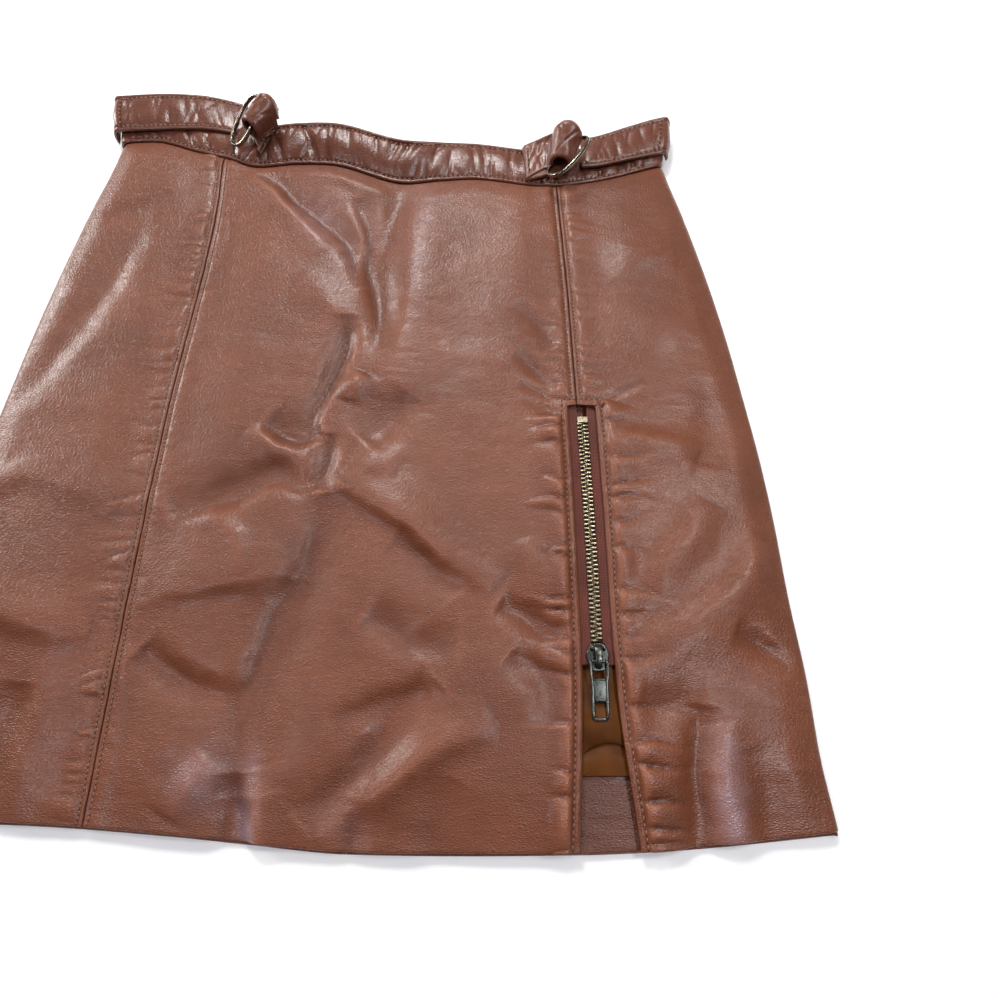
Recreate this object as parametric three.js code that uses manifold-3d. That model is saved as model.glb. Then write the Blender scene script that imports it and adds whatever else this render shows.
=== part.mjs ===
// Leather mini skirt, laid flat on a table with its front up.
// X is across, Y runs from the hem to the waist, Z is up. Sizes are in millimetres.
// The skirt is drawn with the middle of its hem near X = Y = 0 and its back panels on Z = 0.

import * as THREE from 'three';
import { mergeVertices } from 'three/addons/utils/BufferGeometryUtils.js';
import Module from 'manifold-3d';

const wasm = await Module();
wasm.setup();

// Walls and gaps
const LEATHER = 1.4;
const BAND_WALL = 2.4;
const STRAP_WALL = 2.2;
const TAB_WALL = 1.4;
const SATIN = 1.0;
const TAPE_WALL = 1.0;
const SEAM_GAP = 0.3;
const PANEL_GAP = 0.5;
const SIDE_GAP = 0.6;
const WAIST_GAP = 0.6;

// The laid tube: its front puffs over the back and rolls down at the sides
const SIDE_FOLD_RADIUS = 3.2;
const FRONT_ROLL = 3;
const FRONT_SWELL = { height: 0.9, width: 45, middle: 0.4 };
const FOLD_FADE = { waist: 16, side: 20 };
const BAND_ROLL = 5;
const HEM_HEIGHT = 5.4;
const WAIST_RISE_START = 215;
const LOWEST_FRONT = 3.6;

// Waistband and side belts
const BAND_WIDTH = 25.4;
const BAND_CROWN = 0.7;
const BAND_HALF = 160;
const BAND_FLARE = 0.12;
const BELT_WIDTH = 24;
const BELT_RING_END = { left: 93, right: 111.5 };
const BELT_OFFSET = 9;
const TAB_LIFT = 0.45;
const BACK_BAND_WALL = 1.8;

// Zip and vent
const ZIP_TOP = 203;
const ZIP_CORNER = 0.8;
const ZIP_PUFF = { height: 1.8, width: 20, fade: 50 };
const TAPE_DROP = 0.7;
const TAPE_OVERLAP = 6;
const TAPE_END = 84.6;
const CHAIN_WIDTH = 5.4;
const CHAIN_HEIGHT = 2.4;
const CHAIN_PROUD = 0.9;
const CHAIN_END = 84.6;
const CHAIN_TOP = 193;
const STOP = { length: 3, width: 5, proud: 1.2, height: 2.7 };
const SLIDER = { y: 78, length: 12.4, width: 9.6, neck: 7.6, below: 1.5, above: 2.2 };
const BRIDGE = { width: 4.3, length: 11, clearance: 2.5, strap: 1.2, root: 0.4, pinFromEnd: 3.4 };
const PULL = { length: 26, width: 7.4, yokeWidth: 8.6, bar: 1.3, wall: 1.4, slope: 5.8, play: 0.4 };
const PULL_WINDOWS = { yoke: 7.6, plate: 9, lower: 5.4 };

// Lining and hem facing, where they show in the vent
const LINING = { left: 95, right: 127, low: 27, high: 100, middle: 109, puffWidth: 10, floor: 2.8, step: 1.6 };
const FACING = { left: 90, right: 132, wall: 1.2, high: 34, inset: 0.6, covered: 4 };
const BACK_HEM_DROP = 1.8;

// Half of the laid skirt's width at each height from the hem
const SIDE_OUTLINE = [
  { y: -6, half: 207 },
  { y: 8, half: 206.1 },
  { y: 35, half: 203.2 },
  { y: 69, half: 202 },
  { y: 105, half: 199 },
  { y: 143, half: 197 },
  { y: 175, half: 194.2 },
  { y: 208, half: 190 },
  { y: 243, half: 185.1 },
  { y: 281, half: 178.2 },
  { y: 322, half: 169 },
  { y: 351, half: 161.5 },
  { y: 376, half: 157 },
];

// The hem line of the front
const HEM = [
  { x: -207, y: 13 },
  { x: -130, y: 10.5 },
  { x: -75, y: 6.7 },
  { x: -43, y: 3.8 },
  { x: 0, y: 0 },
  { x: 98, y: -0.3 },
  { x: 148, y: 2 },
  { x: 207, y: 7.3 },
];

// The waist seam of the front: its line, its height and how far the band above it leans up, in degrees
const WAIST = [
  { x: -166, y: 371, z: 10, lean: 4 },
  { x: -136, y: 372, z: 10.5, lean: 4 },
  { x: -112, y: 365, z: 10, lean: 4 },
  { x: -94, y: 361, z: 9, lean: 6 },
  { x: -78, y: 355, z: 9, lean: 12 },
  { x: -52, y: 357, z: 9, lean: 13.5 },
  { x: -29, y: 355.5, z: 9, lean: 16 },
  { x: 6, y: 344, z: 8, lean: 19 },
  { x: 29, y: 345.7, z: 8, lean: 8 },
  { x: 52, y: 347, z: 8, lean: 2 },
  { x: 90, y: 342, z: 8, lean: 1 },
  { x: 122, y: 346, z: 8, lean: -2 },
  { x: 157, y: 357, z: 7.5, lean: 3 },
  { x: 166, y: 360, z: 7.5, lean: 3 },
];

// The waist seam of the back
const BACK_WAIST = [
  { x: -166, y: 367 },
  { x: -100, y: 357 },
  { x: 0, y: 350 },
  { x: 100, y: 350 },
  { x: 166, y: 359 },
];

// The lower edge of each side belt, from the side of the skirt to its ring
const BELTS = {
  left: [
    { x: -170, y: 376, z: 14, lean: 6 },
    { x: -136, y: 377, z: 14.4, lean: 8 },
    { x: -112, y: 377.6, z: 14.4, lean: 4 },
    { x: -90, y: 376, z: 15.6, lean: -3 },
  ],
  right: [
    { x: 111, y: 351.5, z: 12.6, lean: -7 },
    { x: 122, y: 352.8, z: 12.2, lean: -4 },
    { x: 140, y: 358, z: 11.4, lean: 2 },
    { x: 157, y: 362.5, z: 11, lean: 7 },
    { x: 170, y: 365, z: 11, lean: 7 },
  ],
};

// The princess seams of the front
const LEFT_SEAM = [
  { y: -6, x: -110 },
  { y: 100, x: -108 },
  { y: 196, x: -105 },
  { y: 252, x: -100.4 },
  { y: 310, x: -95.6 },
  { y: 370, x: -96.5 },
];
const RIGHT_SEAM = [
  { y: 190, x: 104 },
  { y: 265, x: 101.5 },
  { y: 311, x: 98.7 },
  { y: 350, x: 96.6 },
];

// The two leather edges of the zip and the vent below it
const ZIP_EDGES = [
  { y: -6, left: 97, right: 123 },
  { y: 2, left: 97.5, right: 122.5 },
  { y: 52, left: 100.4, right: 117 },
  { y: 85, left: 101.1, right: 115.5 },
  { y: 142, left: 100.3, right: 114.6 },
  { y: 194, left: 99.1, right: 113.2 },
  { y: 206, left: 98.8, right: 112.6 },
];

// The largest folds of the front, each a soft ridge, or a trough where its height is negative
const FOLDS = [
  { name: 'buckle ridge', from: [-78, 340], bend: [-42, 314], to: [-18, 262], height: 3.4, width: 10 },
  { name: 'centre trough', from: [-2, 336], bend: [-6, 285], to: [1, 228], height: -2.2, width: 6 },
  { name: 'centre swell', from: [32, 335], bend: [30, 280], to: [40, 200], height: 2.2, width: 20 },
  { name: 'drag left of centre', from: [-40, 352], bend: [-22, 335], to: [-8, 300], height: -1.6, width: 6 },
  { name: 'knee trough', from: [-15, 226], bend: [-24, 204], to: [-52, 190], height: -2.4, width: 9 },
  { name: 'short ridge', from: [-64, 191], bend: [-42, 177], to: [-22, 168], height: 2, width: 6 },
  { name: 'left trough', from: [-94, 143], bend: [-58, 164], to: [-22, 158], height: -2.2, width: 8 },
  { name: 'long crease, upper', from: [-17, 262], bend: [-14, 190], to: [-26, 128], height: 2, width: 8 },
  { name: 'long crease, lower', from: [-26, 128], bend: [-54, 84], to: [-45, 6], height: 1.9, width: 8 },
  { name: 'crease shadow', from: [-36, 132], bend: [-66, 84], to: [-58, 20], height: -1.4, width: 8 },
  { name: 'middle ridge', from: [-12, 168], bend: [16, 160], to: [58, 110], height: 2.4, width: 11 },
  { name: 'middle trough', from: [8, 95], bend: [32, 72], to: [60, 94], height: -1.7, width: 10 },
  { name: 'hem trough', from: [38, 68], bend: [12, 40], to: [-12, 6], height: -1.9, width: 9 },
  { name: 'hem ridge', from: [64, 50], bend: [28, 36], to: [-4, 2], height: 1.8, width: 9 },
  { name: 'left hem trough', from: [-94, 78], bend: [-70, 64], to: [-50, 62], height: -1.6, width: 8 },
  { name: 'side ridge', from: [124, 82], bend: [160, 80], to: [194, 122], height: 2, width: 12 },
  { name: 'side trough', from: [150, 70], bend: [144, 44], to: [150, 20], height: -1.6, width: 9 },
  { name: 'side hem ridge', from: [157, 46], bend: [162, 26], to: [165, 2], height: 2, width: 7 },
  { name: 'side nick', from: [172, 88], bend: [188, 78], to: [200, 78], height: -1.4, width: 6 },
  { name: 'zip foot trough', from: [68, 92], bend: [78, 86], to: [87, 91], height: -1.6, width: 6 },
  { name: 'zip top trough', from: [72, 220], bend: [86, 212], to: [97, 205], height: -1.4, width: 6 },
  { name: 'zip side ridge', from: [118, 177], bend: [140, 187], to: [160, 176], height: 1.4, width: 7 },
  { name: 'vent lift', from: [124, 2], bend: [140, 6], to: [158, 2], height: 1, width: 13 },
  { name: 'far side ridge', from: [-124, 96], bend: [-158, 88], to: [-192, 128], height: 2, width: 12 },
  { name: 'far side trough', from: [-126, 300], bend: [-140, 250], to: [-176, 196], height: -1.5, width: 12 },
  { name: 'far hem trough', from: [-146, 66], bend: [-150, 40], to: [-140, 8], height: -1.6, width: 9 },
];

// The lining's height along the vent
const LINING_HEIGHT = [
  { y: 27, z: 4.6 },
  { y: 33, z: 5.2 },
  { y: 42, z: 4.7 },
  { y: 53, z: 6.4 },
  { y: 62, z: 4.6 },
  { y: 72, z: 3.3 },
  { y: 84, z: 2.9 },
  { y: 100, z: 2.8 },
];

// Each ring tab: its sewn root, the middle line of the roll round the ring, and the ring's way out of it
const BUCKLES = [
  {
    side: 'left',
    root: [new THREE.Vector3(-69, 361, 0), new THREE.Vector3(-61, 379, 0)],
    roll: [new THREE.Vector3(-79.9, 364.5, 18.6), new THREE.Vector3(-70.8, 380.6, 25.8)],
    radius: 5.3,
    ringLong: new THREE.Vector3(0.441, 0.827, 0.349),
    ringOut: new THREE.Vector3(-0.75, 0.553, -0.364),
  },
  {
    side: 'right',
    root: [new THREE.Vector3(79, 345, 0), new THREE.Vector3(77, 367, 0)],
    roll: [new THREE.Vector3(99.3, 349, 16.3), new THREE.Vector3(104.6, 364.6, 18.3)],
    radius: 7.3,
    ringLong: new THREE.Vector3(0.52, 0.84, 0.15),
    ringOut: new THREE.Vector3(0.587, -0.56, 0.512),
  },
];
const RING = { halfLength: 15.5, halfWidth: 8, wire: 1.6, stock: 3.2, squareness: 2.6 };

const COLOURS = {
  leather: new THREE.MeshStandardMaterial({ color: 0x8a5546, roughness: 0.5, metalness: 0 }),
  satin: new THREE.MeshStandardMaterial({ color: 0xa8651c, roughness: 0.35, metalness: 0 }),
  tape: new THREE.MeshStandardMaterial({ color: 0x7a2f22, roughness: 0.9, metalness: 0 }),
  brass: new THREE.MeshStandardMaterial({ color: 0x6f6650, roughness: 0.4, metalness: 1 }),
  steel: new THREE.MeshStandardMaterial({ color: 0x4a4c48, roughness: 0.3, metalness: 1 }),
};

// Reads a column of a table at a place along it, on a smooth curve through its rows
function lookUp(table, along, column, at) {
  const last = table.length - 1;
  let i = 0;
  while (i < last - 1 && at > table[i + 1][along]) i += 1;
  const slope = (k) => {
    const a = table[Math.max(k - 1, 0)];
    const b = table[Math.min(k + 1, last)];
    return (b[column] - a[column]) / (b[along] - a[along]);
  };
  const low = table[i];
  const high = table[i + 1];
  const span = high[along] - low[along];
  const t = THREE.MathUtils.clamp((at - low[along]) / span, 0, 1);
  const t2 = t * t;
  const t3 = t2 * t;
  return (2 * t3 - 3 * t2 + 1) * low[column] + (t3 - 2 * t2 + t) * span * slope(i)
    + (3 * t2 - 2 * t3) * high[column] + (t3 - t2) * span * slope(i + 1);
}

const sideHalf = (y) => lookUp(SIDE_OUTLINE, 'y', 'half', y);
const hemLine = (x) => lookUp(HEM, 'x', 'y', x);
const waistLine = (x) => lookUp(WAIST, 'x', 'y', x);
const zipLeft = (y) => lookUp(ZIP_EDGES, 'y', 'left', y);
const zipRight = (y) => lookUp(ZIP_EDGES, 'y', 'right', y);
const zipMiddle = (y) => (zipLeft(y) + zipRight(y)) / 2;

const backWaistLine = (x) => lookUp(BACK_WAIST, 'x', 'y', x);

// How far a roll has come up at a distance from its outer edge
function rollUp(distance, width) {
  const t = THREE.MathUtils.clamp(1 - distance / width, 0, 1);
  return Math.sqrt(1 - t * t);
}

// The distance in plan from a point to a fold's curve
function distanceToFold(fold, x, y) {
  const steps = 10;
  let best = Infinity;
  let ax = fold.from[0];
  let ay = fold.from[1];
  for (let i = 1; i <= steps; i += 1) {
    const t = i / steps;
    const w0 = (1 - t) * (1 - t);
    const w1 = 2 * t * (1 - t);
    const w2 = t * t;
    const bx = w0 * fold.from[0] + w1 * fold.bend[0] + w2 * fold.to[0];
    const by = w0 * fold.from[1] + w1 * fold.bend[1] + w2 * fold.to[1];
    const dx = bx - ax;
    const dy = by - ay;
    const s = THREE.MathUtils.clamp(((x - ax) * dx + (y - ay) * dy) / (dx * dx + dy * dy), 0, 1);
    best = Math.min(best, Math.hypot(x - ax - s * dx, y - ay - s * dy));
    ax = bx;
    ay = by;
  }
  return best;
}

// The height of the front's outer face above the table
function frontHeight(x, y) {
  const waist = waistLine(x);
  const rise = THREE.MathUtils.smoothstep(y, WAIST_RISE_START, waist);
  let z = THREE.MathUtils.lerp(HEM_HEIGHT, lookUp(WAIST, 'x', 'z', x), rise);
  const beside = (x - zipMiddle(y)) / ZIP_PUFF.width;
  const aboveZip = THREE.MathUtils.smoothstep(y, ZIP_TOP, ZIP_TOP + ZIP_PUFF.fade);
  z += ZIP_PUFF.height * Math.exp(-beside * beside) * (1 - aboveZip);
  const inward = sideHalf(y) - Math.abs(x);
  const fade = THREE.MathUtils.smoothstep(waist - y, 0, FOLD_FADE.waist)
    * THREE.MathUtils.smoothstep(inward, 0, FOLD_FADE.side);
  for (const fold of FOLDS) {
    const away = distanceToFold(fold, x, y) / fold.width;
    z += fold.height * Math.exp(-away * away) * fade;
  }
  z += FRONT_SWELL.height * (rollUp(inward, FRONT_SWELL.width) - FRONT_SWELL.middle);
  z = Math.max(z, LOWEST_FRONT);
  const edge = SIDE_FOLD_RADIUS + SIDE_GAP;
  return edge + (z - edge) * rollUp(inward, FRONT_ROLL);
}

// A closed wall: a grid of points on its outer face, and the same grid moved in by the wall.
// Walking along u and then v turns anticlockwise seen from outside.
function wallGeometry(face, us, vs, wall) {
  const nu = us.length;
  const nv = vs.length;
  const outer = vs.map((v) => us.map((u) => face(u, v)));
  const points = [];
  const inner = outer.map((row, j) => row.map((point, i) => {
    const du = outer[j][Math.min(i + 1, nu - 1)].clone().sub(outer[j][Math.max(i - 1, 0)]);
    const dv = outer[Math.min(j + 1, nv - 1)][i].clone().sub(outer[Math.max(j - 1, 0)][i]);
    return point.clone().addScaledVector(du.cross(dv).normalize(), -wall);
  }));
  for (const grid of [outer, inner]) {
    for (const row of grid) {
      for (const p of row) points.push(p.x, p.y, p.z);
    }
  }
  const at = (layer, i, j) => layer * nu * nv + j * nu + i;
  const index = [];
  const quad = (a, b, c, d) => index.push(a, b, c, a, c, d);
  for (let j = 0; j < nv - 1; j += 1) {
    for (let i = 0; i < nu - 1; i += 1) {
      quad(at(0, i, j), at(0, i + 1, j), at(0, i + 1, j + 1), at(0, i, j + 1));
      quad(at(1, i, j), at(1, i, j + 1), at(1, i + 1, j + 1), at(1, i + 1, j));
    }
  }
  for (let i = 0; i < nu - 1; i += 1) {
    quad(at(1, i, 0), at(1, i + 1, 0), at(0, i + 1, 0), at(0, i, 0));
    quad(at(0, i, nv - 1), at(0, i + 1, nv - 1), at(1, i + 1, nv - 1), at(1, i, nv - 1));
  }
  for (let j = 0; j < nv - 1; j += 1) {
    quad(at(0, 0, j), at(0, 0, j + 1), at(1, 0, j + 1), at(1, 0, j));
    quad(at(1, nu - 1, j), at(1, nu - 1, j + 1), at(0, nu - 1, j + 1), at(0, nu - 1, j));
  }
  const geometry = new THREE.BufferGeometry();
  geometry.setAttribute('position', new THREE.Float32BufferAttribute(points, 3));
  geometry.setIndex(index);
  return geometry;
}

// Even steps from one value to another
const steps = (from, to, count) => Array.from({ length: count + 1 }, (_, i) => from + ((to - from) * i) / count);

const garment = new THREE.Group();

function addPiece(name, geometry, material) {
  const mesh = new THREE.Mesh(geometry, material);
  mesh.name = name;
  garment.add(mesh);
  return mesh;
}

// Front panels

const zipRow = (ZIP_TOP - hemLine(104)) / (waistLine(104) - hemLine(104));
const zipCornerRow = (ZIP_TOP - ZIP_CORNER - hemLine(104)) / (waistLine(104) - hemLine(104));
const frontRows = [...steps(0, zipCornerRow, 15), ...steps(zipRow, 1, 11)];
const openAt = (y) => 1 - THREE.MathUtils.smoothstep(y, ZIP_TOP - ZIP_CORNER, ZIP_TOP);

function leftOfRightSeam(y) {
  const closed = lookUp(RIGHT_SEAM, 'y', 'x', y) - PANEL_GAP / 2;
  return THREE.MathUtils.lerp(closed, zipLeft(y), openAt(y));
}

function rightOfRightSeam(y) {
  const closed = lookUp(RIGHT_SEAM, 'y', 'x', y) + PANEL_GAP / 2;
  return THREE.MathUtils.lerp(closed, zipRight(y), openAt(y));
}

// A panel whose columns are functions of y: acrossAt(u, y) gives the place along X
function frontFace(acrossAt) {
  return (u, v) => {
    let y = v * waistLine(0);
    let x = acrossAt(u, y);
    for (let pass = 0; pass < 3; pass += 1) {
      y = THREE.MathUtils.lerp(hemLine(x), waistLine(x) - WAIST_GAP, v);
      x = acrossAt(u, y);
    }
    return new THREE.Vector3(x, y, frontHeight(x, y));
  };
}

// Columns of a side panel: u from 0 to 1 runs from its seam to the side fold, then to 2 round the fold
const FOLD_TURNS = [25, 50, 72, 87, 90].map((angle) => 1 + angle / 90);
const sideColumns = [...steps(0, 1, 7), ...FOLD_TURNS];
function sideAcross(seam, half, roll, u) {
  const foldTop = half - roll;
  if (u <= 1) return THREE.MathUtils.lerp(seam, foldTop, u);
  return foldTop + roll * Math.sin(((u - 1) * Math.PI) / 2);
}

const leftSeam = (y) => lookUp(LEFT_SEAM, 'y', 'x', y);
addPiece(
  'front_center',
  wallGeometry(
    frontFace((u, y) => THREE.MathUtils.lerp(leftSeam(y) + PANEL_GAP / 2, leftOfRightSeam(y), u)),
    steps(0, 1, 19), frontRows, LEATHER,
  ),
  COLOURS.leather,
);
addPiece(
  'front_right',
  wallGeometry(
    frontFace((u, y) => sideAcross(rightOfRightSeam(y), sideHalf(y), FRONT_ROLL, u)),
    sideColumns, frontRows, LEATHER,
  ),
  COLOURS.leather,
);
addPiece(
  'front_left',
  wallGeometry(
    frontFace((u, y) => -sideAcross(PANEL_GAP / 2 - leftSeam(y), sideHalf(y), FRONT_ROLL, u)),
    [...sideColumns].reverse(), frontRows, LEATHER,
  ),
  COLOURS.leather,
);

// Back panels: flat on the table, turning up at the side folds

// Columns of a back piece: u from 0 to 1 runs from its middle to the side fold, then to 2 round the fold
const backColumns = [...steps(0, 1, 7), ...FOLD_TURNS];
const backEdge = SIDE_FOLD_RADIUS - SEAM_GAP / 2;
const backHeight = (u) => backEdge * (1 - Math.cos((Math.max(u - 1, 0) * Math.PI) / 2));
function backFace(sign) {
  return (u, v) => {
    let y = v * waistLine(0);
    let x = 0;
    for (let pass = 0; pass < 3; pass += 1) {
      x = sign * sideAcross(SEAM_GAP / 2, sideHalf(y), backEdge, u);
      y = THREE.MathUtils.lerp(hemLine(x) - BACK_HEM_DROP, backWaistLine(x) - WAIST_GAP, v);
    }
    return new THREE.Vector3(x, y, backHeight(u));
  };
}
const backRows = steps(0, 1, 12);
const fromRight = [...backColumns].reverse();
addPiece('back_right', wallGeometry(backFace(1), fromRight, backRows, LEATHER), COLOURS.leather);
addPiece('back_left', wallGeometry(backFace(-1), backColumns, backRows, LEATHER), COLOURS.leather);

// Waistband and side belts

// A point of a strap's outer face, at a place along X and a distance up from its lower edge
function strapPoint(table, x, up, crown, width, lift) {
  const lean = THREE.MathUtils.degToRad(lookUp(table, 'x', 'lean', x));
  const out = crown * Math.sin((Math.PI * THREE.MathUtils.clamp(up, 0, width)) / width);
  const y = lookUp(table, 'x', 'y', x) + up * Math.cos(lean) - out * Math.sin(lean);
  const z = lookUp(table, 'x', 'z', x) + up * Math.sin(lean) + out * Math.cos(lean);
  const edge = SIDE_FOLD_RADIUS + SIDE_GAP;
  const end = BAND_HALF + BAND_FLARE * up + lift;
  return new THREE.Vector3(x, y, edge + (z - edge) * rollUp(end - Math.abs(x), BAND_ROLL));
}

// The band's columns: u from -2 to 2, past 1 round the side fold
function bandFace(u, v) {
  const up = v * BAND_WIDTH;
  const x = Math.sign(u) * sideAcross(0, BAND_HALF + BAND_FLARE * up, BAND_ROLL, Math.abs(u));
  return strapPoint(WAIST, x, up, BAND_CROWN, BAND_WIDTH, 0);
}
const bandColumns = [...FOLD_TURNS.map((u) => -u).reverse(), ...steps(-1, 1, 34), ...FOLD_TURNS];
addPiece('waistband_front', wallGeometry(bandFace, bandColumns, steps(0, 1, 4), BAND_WALL), COLOURS.leather);

const BELT_LIFT = 2 * SEAM_GAP + STRAP_WALL;
function beltFace(side, ringEnd, sign) {
  return (u, v) => {
    const up = v * BELT_WIDTH;
    const half = BAND_HALF + BAND_FLARE * (up + BELT_OFFSET) + BELT_LIFT;
    const x = sign * sideAcross(ringEnd, half, BAND_ROLL, u);
    return strapPoint(BELTS[side], x, up, 0, BELT_WIDTH, BELT_LIFT + BAND_FLARE * BELT_OFFSET);
  };
}
const beltColumns = [...steps(0, 1, 6), ...FOLD_TURNS];
const beltRows = steps(0, 1, 3);
addPiece(
  'side_belt_right',
  wallGeometry(beltFace('right', BELT_RING_END.right, 1), beltColumns, beltRows, STRAP_WALL),
  COLOURS.leather,
);
addPiece(
  'side_belt_left',
  wallGeometry(beltFace('left', BELT_RING_END.left, -1), [...beltColumns].reverse(), beltRows, STRAP_WALL),
  COLOURS.leather,
);

function backBandFace(u, v) {
  const half = BAND_HALF + BAND_FLARE * v * BAND_WIDTH;
  const x = -Math.sign(u) * sideAcross(0, half, backEdge, Math.abs(u));
  return new THREE.Vector3(x, backWaistLine(x) + v * BAND_WIDTH, backHeight(Math.abs(u)));
}
const backBandColumns = [...FOLD_TURNS.map((u) => -u).reverse(), ...steps(-1, 1, 16), ...FOLD_TURNS];
addPiece(
  'waistband_back',
  wallGeometry(backBandFace, backBandColumns, steps(0, 1, 2), BACK_BAND_WALL),
  COLOURS.leather,
);

// Ring tabs: a strip that leaves its sewn root, rolls round the ring and comes back over itself

function tabFace(buckle) {
  const { root, roll, radius } = buckle;
  const reverse = buckle.side === 'right';
  return (u, v) => {
    const w = reverse ? 1 - v : v;
    const start = root[0].clone().lerp(root[1], w);
    const up = start.y - waistLine(start.x);
    const onBand = strapPoint(WAIST, start.x, up, BAND_CROWN, BAND_WIDTH, 0);
    const centre = roll[0].clone().lerp(roll[1], w);
    const out = new THREE.Vector3(centre.x - onBand.x, centre.y - onBand.y, 0).normalize();
    const lift = new THREE.Vector3(0, 0, 1);
    const lower = onBand.clone().addScaledVector(lift, TAB_LIFT);
    const upper = lower.clone().addScaledVector(lift, SEAM_GAP + 2 * TAB_WALL);
    if (u < 0) return lower.lerp(centre.clone().addScaledVector(lift, -radius), u + 1);
    if (u > 1) return centre.clone().addScaledVector(lift, radius).lerp(upper, u - 1);
    const turn = (u - 0.5) * Math.PI;
    return centre.addScaledVector(out, radius * Math.cos(turn)).addScaledVector(lift, radius * Math.sin(turn));
  };
}
const tabSteps = [...steps(-1, -0.25, 3), ...steps(0, 1, 8), ...steps(1.25, 2, 3)];

// Rings: an oval of flat stock, one long side inside the roll of its tab
function ringGeometry(buckle) {
  const long = buckle.ringLong.clone().normalize();
  const out = buckle.ringOut.clone().addScaledVector(long, -buckle.ringOut.dot(long)).normalize();
  const thick = long.clone().cross(out);
  const inRoll = buckle.roll[0].clone().lerp(buckle.roll[1], 0.5);
  const centre = inRoll.addScaledVector(out, RING.halfWidth);
  const power = 2 / RING.squareness;
  const oval = (angle, grow) => {
    const c = Math.cos(angle);
    const s = Math.sin(angle);
    const a = (RING.halfLength + grow) * Math.sign(c) * Math.abs(c) ** power;
    const b = (RING.halfWidth + grow) * Math.sign(s) * Math.abs(s) ** power;
    return centre.clone().addScaledVector(long, a).addScaledVector(out, b);
  };
  const turns = 36;
  const corners = [[1, 1], [-1, 1], [-1, -1], [1, -1]];
  const points = [];
  const index = [];
  for (let i = 0; i < turns; i += 1) {
    for (const [g, t] of corners) {
      const p = oval((i * 2 * Math.PI) / turns, (g * RING.wire) / 2).addScaledVector(thick, (t * RING.stock) / 2);
      points.push(p.x, p.y, p.z);
    }
    const next = (i + 1) % turns;
    for (let k = 0; k < 4; k += 1) {
      const a = i * 4 + k;
      const b = i * 4 + ((k + 1) % 4);
      const c = next * 4 + ((k + 1) % 4);
      const d = next * 4 + k;
      index.push(a, c, b, a, d, c);
    }
  }
  const geometry = new THREE.BufferGeometry();
  geometry.setAttribute('position', new THREE.Float32BufferAttribute(points, 3));
  geometry.setIndex(index);
  return geometry;
}

for (const buckle of BUCKLES) {
  const tab = wallGeometry(tabFace(buckle), tabSteps, steps(0, 1, 4), TAB_WALL);
  addPiece(`ring_tab_${buckle.side}`, tab, COLOURS.leather);
  addPiece(`ring_${buckle.side}`, ringGeometry(buckle), COLOURS.steel);
}

// Zip

const tapeTop = (x, y) => frontHeight(x, y) - LEATHER - TAPE_DROP;

function tapeFace(sign) {
  return (u, v) => {
    const y = THREE.MathUtils.lerp(TAPE_END, ZIP_TOP + 2, v);
    const edge = sign < 0 ? zipLeft(y) : zipRight(y);
    const inner = zipMiddle(y) + sign * (CHAIN_WIDTH / 2 + SEAM_GAP);
    const x = THREE.MathUtils.lerp(edge + sign * TAPE_OVERLAP, inner, sign < 0 ? u : 1 - u);
    return new THREE.Vector3(x, y, tapeTop(x, y));
  };
}
addPiece('zip_tape_left', wallGeometry(tapeFace(-1), steps(0, 1, 2), steps(0, 1, 18), TAPE_WALL), COLOURS.tape);
addPiece('zip_tape_right', wallGeometry(tapeFace(1), steps(0, 1, 2), steps(0, 1, 18), TAPE_WALL), COLOURS.tape);

function barFace(low, high, width, proud) {
  return (u, v) => {
    const y = THREE.MathUtils.lerp(low, high, v);
    const x = zipMiddle(y) + (u - 0.5) * width;
    return new THREE.Vector3(x, y, tapeTop(zipMiddle(y), y) + proud);
  };
}
addPiece(
  'zip_chain',
  wallGeometry(barFace(CHAIN_END, CHAIN_TOP, CHAIN_WIDTH, CHAIN_PROUD), steps(0, 1, 1), steps(0, 1, 18), CHAIN_HEIGHT),
  COLOURS.brass,
);
const stopLow = CHAIN_TOP + SEAM_GAP;
addPiece(
  'zip_top_stop',
  wallGeometry(
    barFace(stopLow, stopLow + STOP.length, STOP.width, STOP.proud),
    steps(0, 1, 1), steps(0, 1, 2), STOP.height,
  ),
  COLOURS.brass,
);

// Joins two closed geometries into one
function joined(a, b) {
  const solid = (geometry) => {
    const bare = geometry.clone();
    bare.deleteAttribute('normal');
    bare.deleteAttribute('uv');
    const merged = mergeVertices(bare);
    return new wasm.Manifold(new wasm.Mesh({
      numProp: 3,
      vertProperties: new Float32Array(merged.attributes.position.array),
      triVerts: new Uint32Array(merged.index.array),
    }));
  };
  const mesh = solid(a).add(solid(b)).getMesh();
  const geometry = new THREE.BufferGeometry();
  geometry.setAttribute('position', new THREE.BufferAttribute(new Float32Array(mesh.vertProperties), 3));
  geometry.setIndex(new THREE.BufferAttribute(new Uint32Array(mesh.triVerts), 1));
  return geometry;
}

const sliderX = zipMiddle(SLIDER.y);
const sliderTape = tapeTop(sliderX, SLIDER.y);

// Slider body in plan: narrow over the closed teeth, wide wings at its open end
function sliderBody() {
  const half = SLIDER.length / 2;
  const wide = SLIDER.width / 2;
  const narrow = SLIDER.neck / 2;
  const outline = new THREE.Shape();
  outline.moveTo(-narrow, -half);
  outline.lineTo(narrow, -half);
  outline.quadraticCurveTo(narrow, 0, wide, half * 0.55);
  outline.lineTo(wide * 0.72, half);
  outline.lineTo(0, half * 0.72);
  outline.lineTo(-wide * 0.72, half);
  outline.lineTo(-wide, half * 0.55);
  outline.quadraticCurveTo(-narrow, 0, -narrow, -half);
  const depth = SLIDER.below + SLIDER.above;
  return new THREE.ExtrudeGeometry(outline, { depth, bevelEnabled: false, curveSegments: 4 });
}

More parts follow.
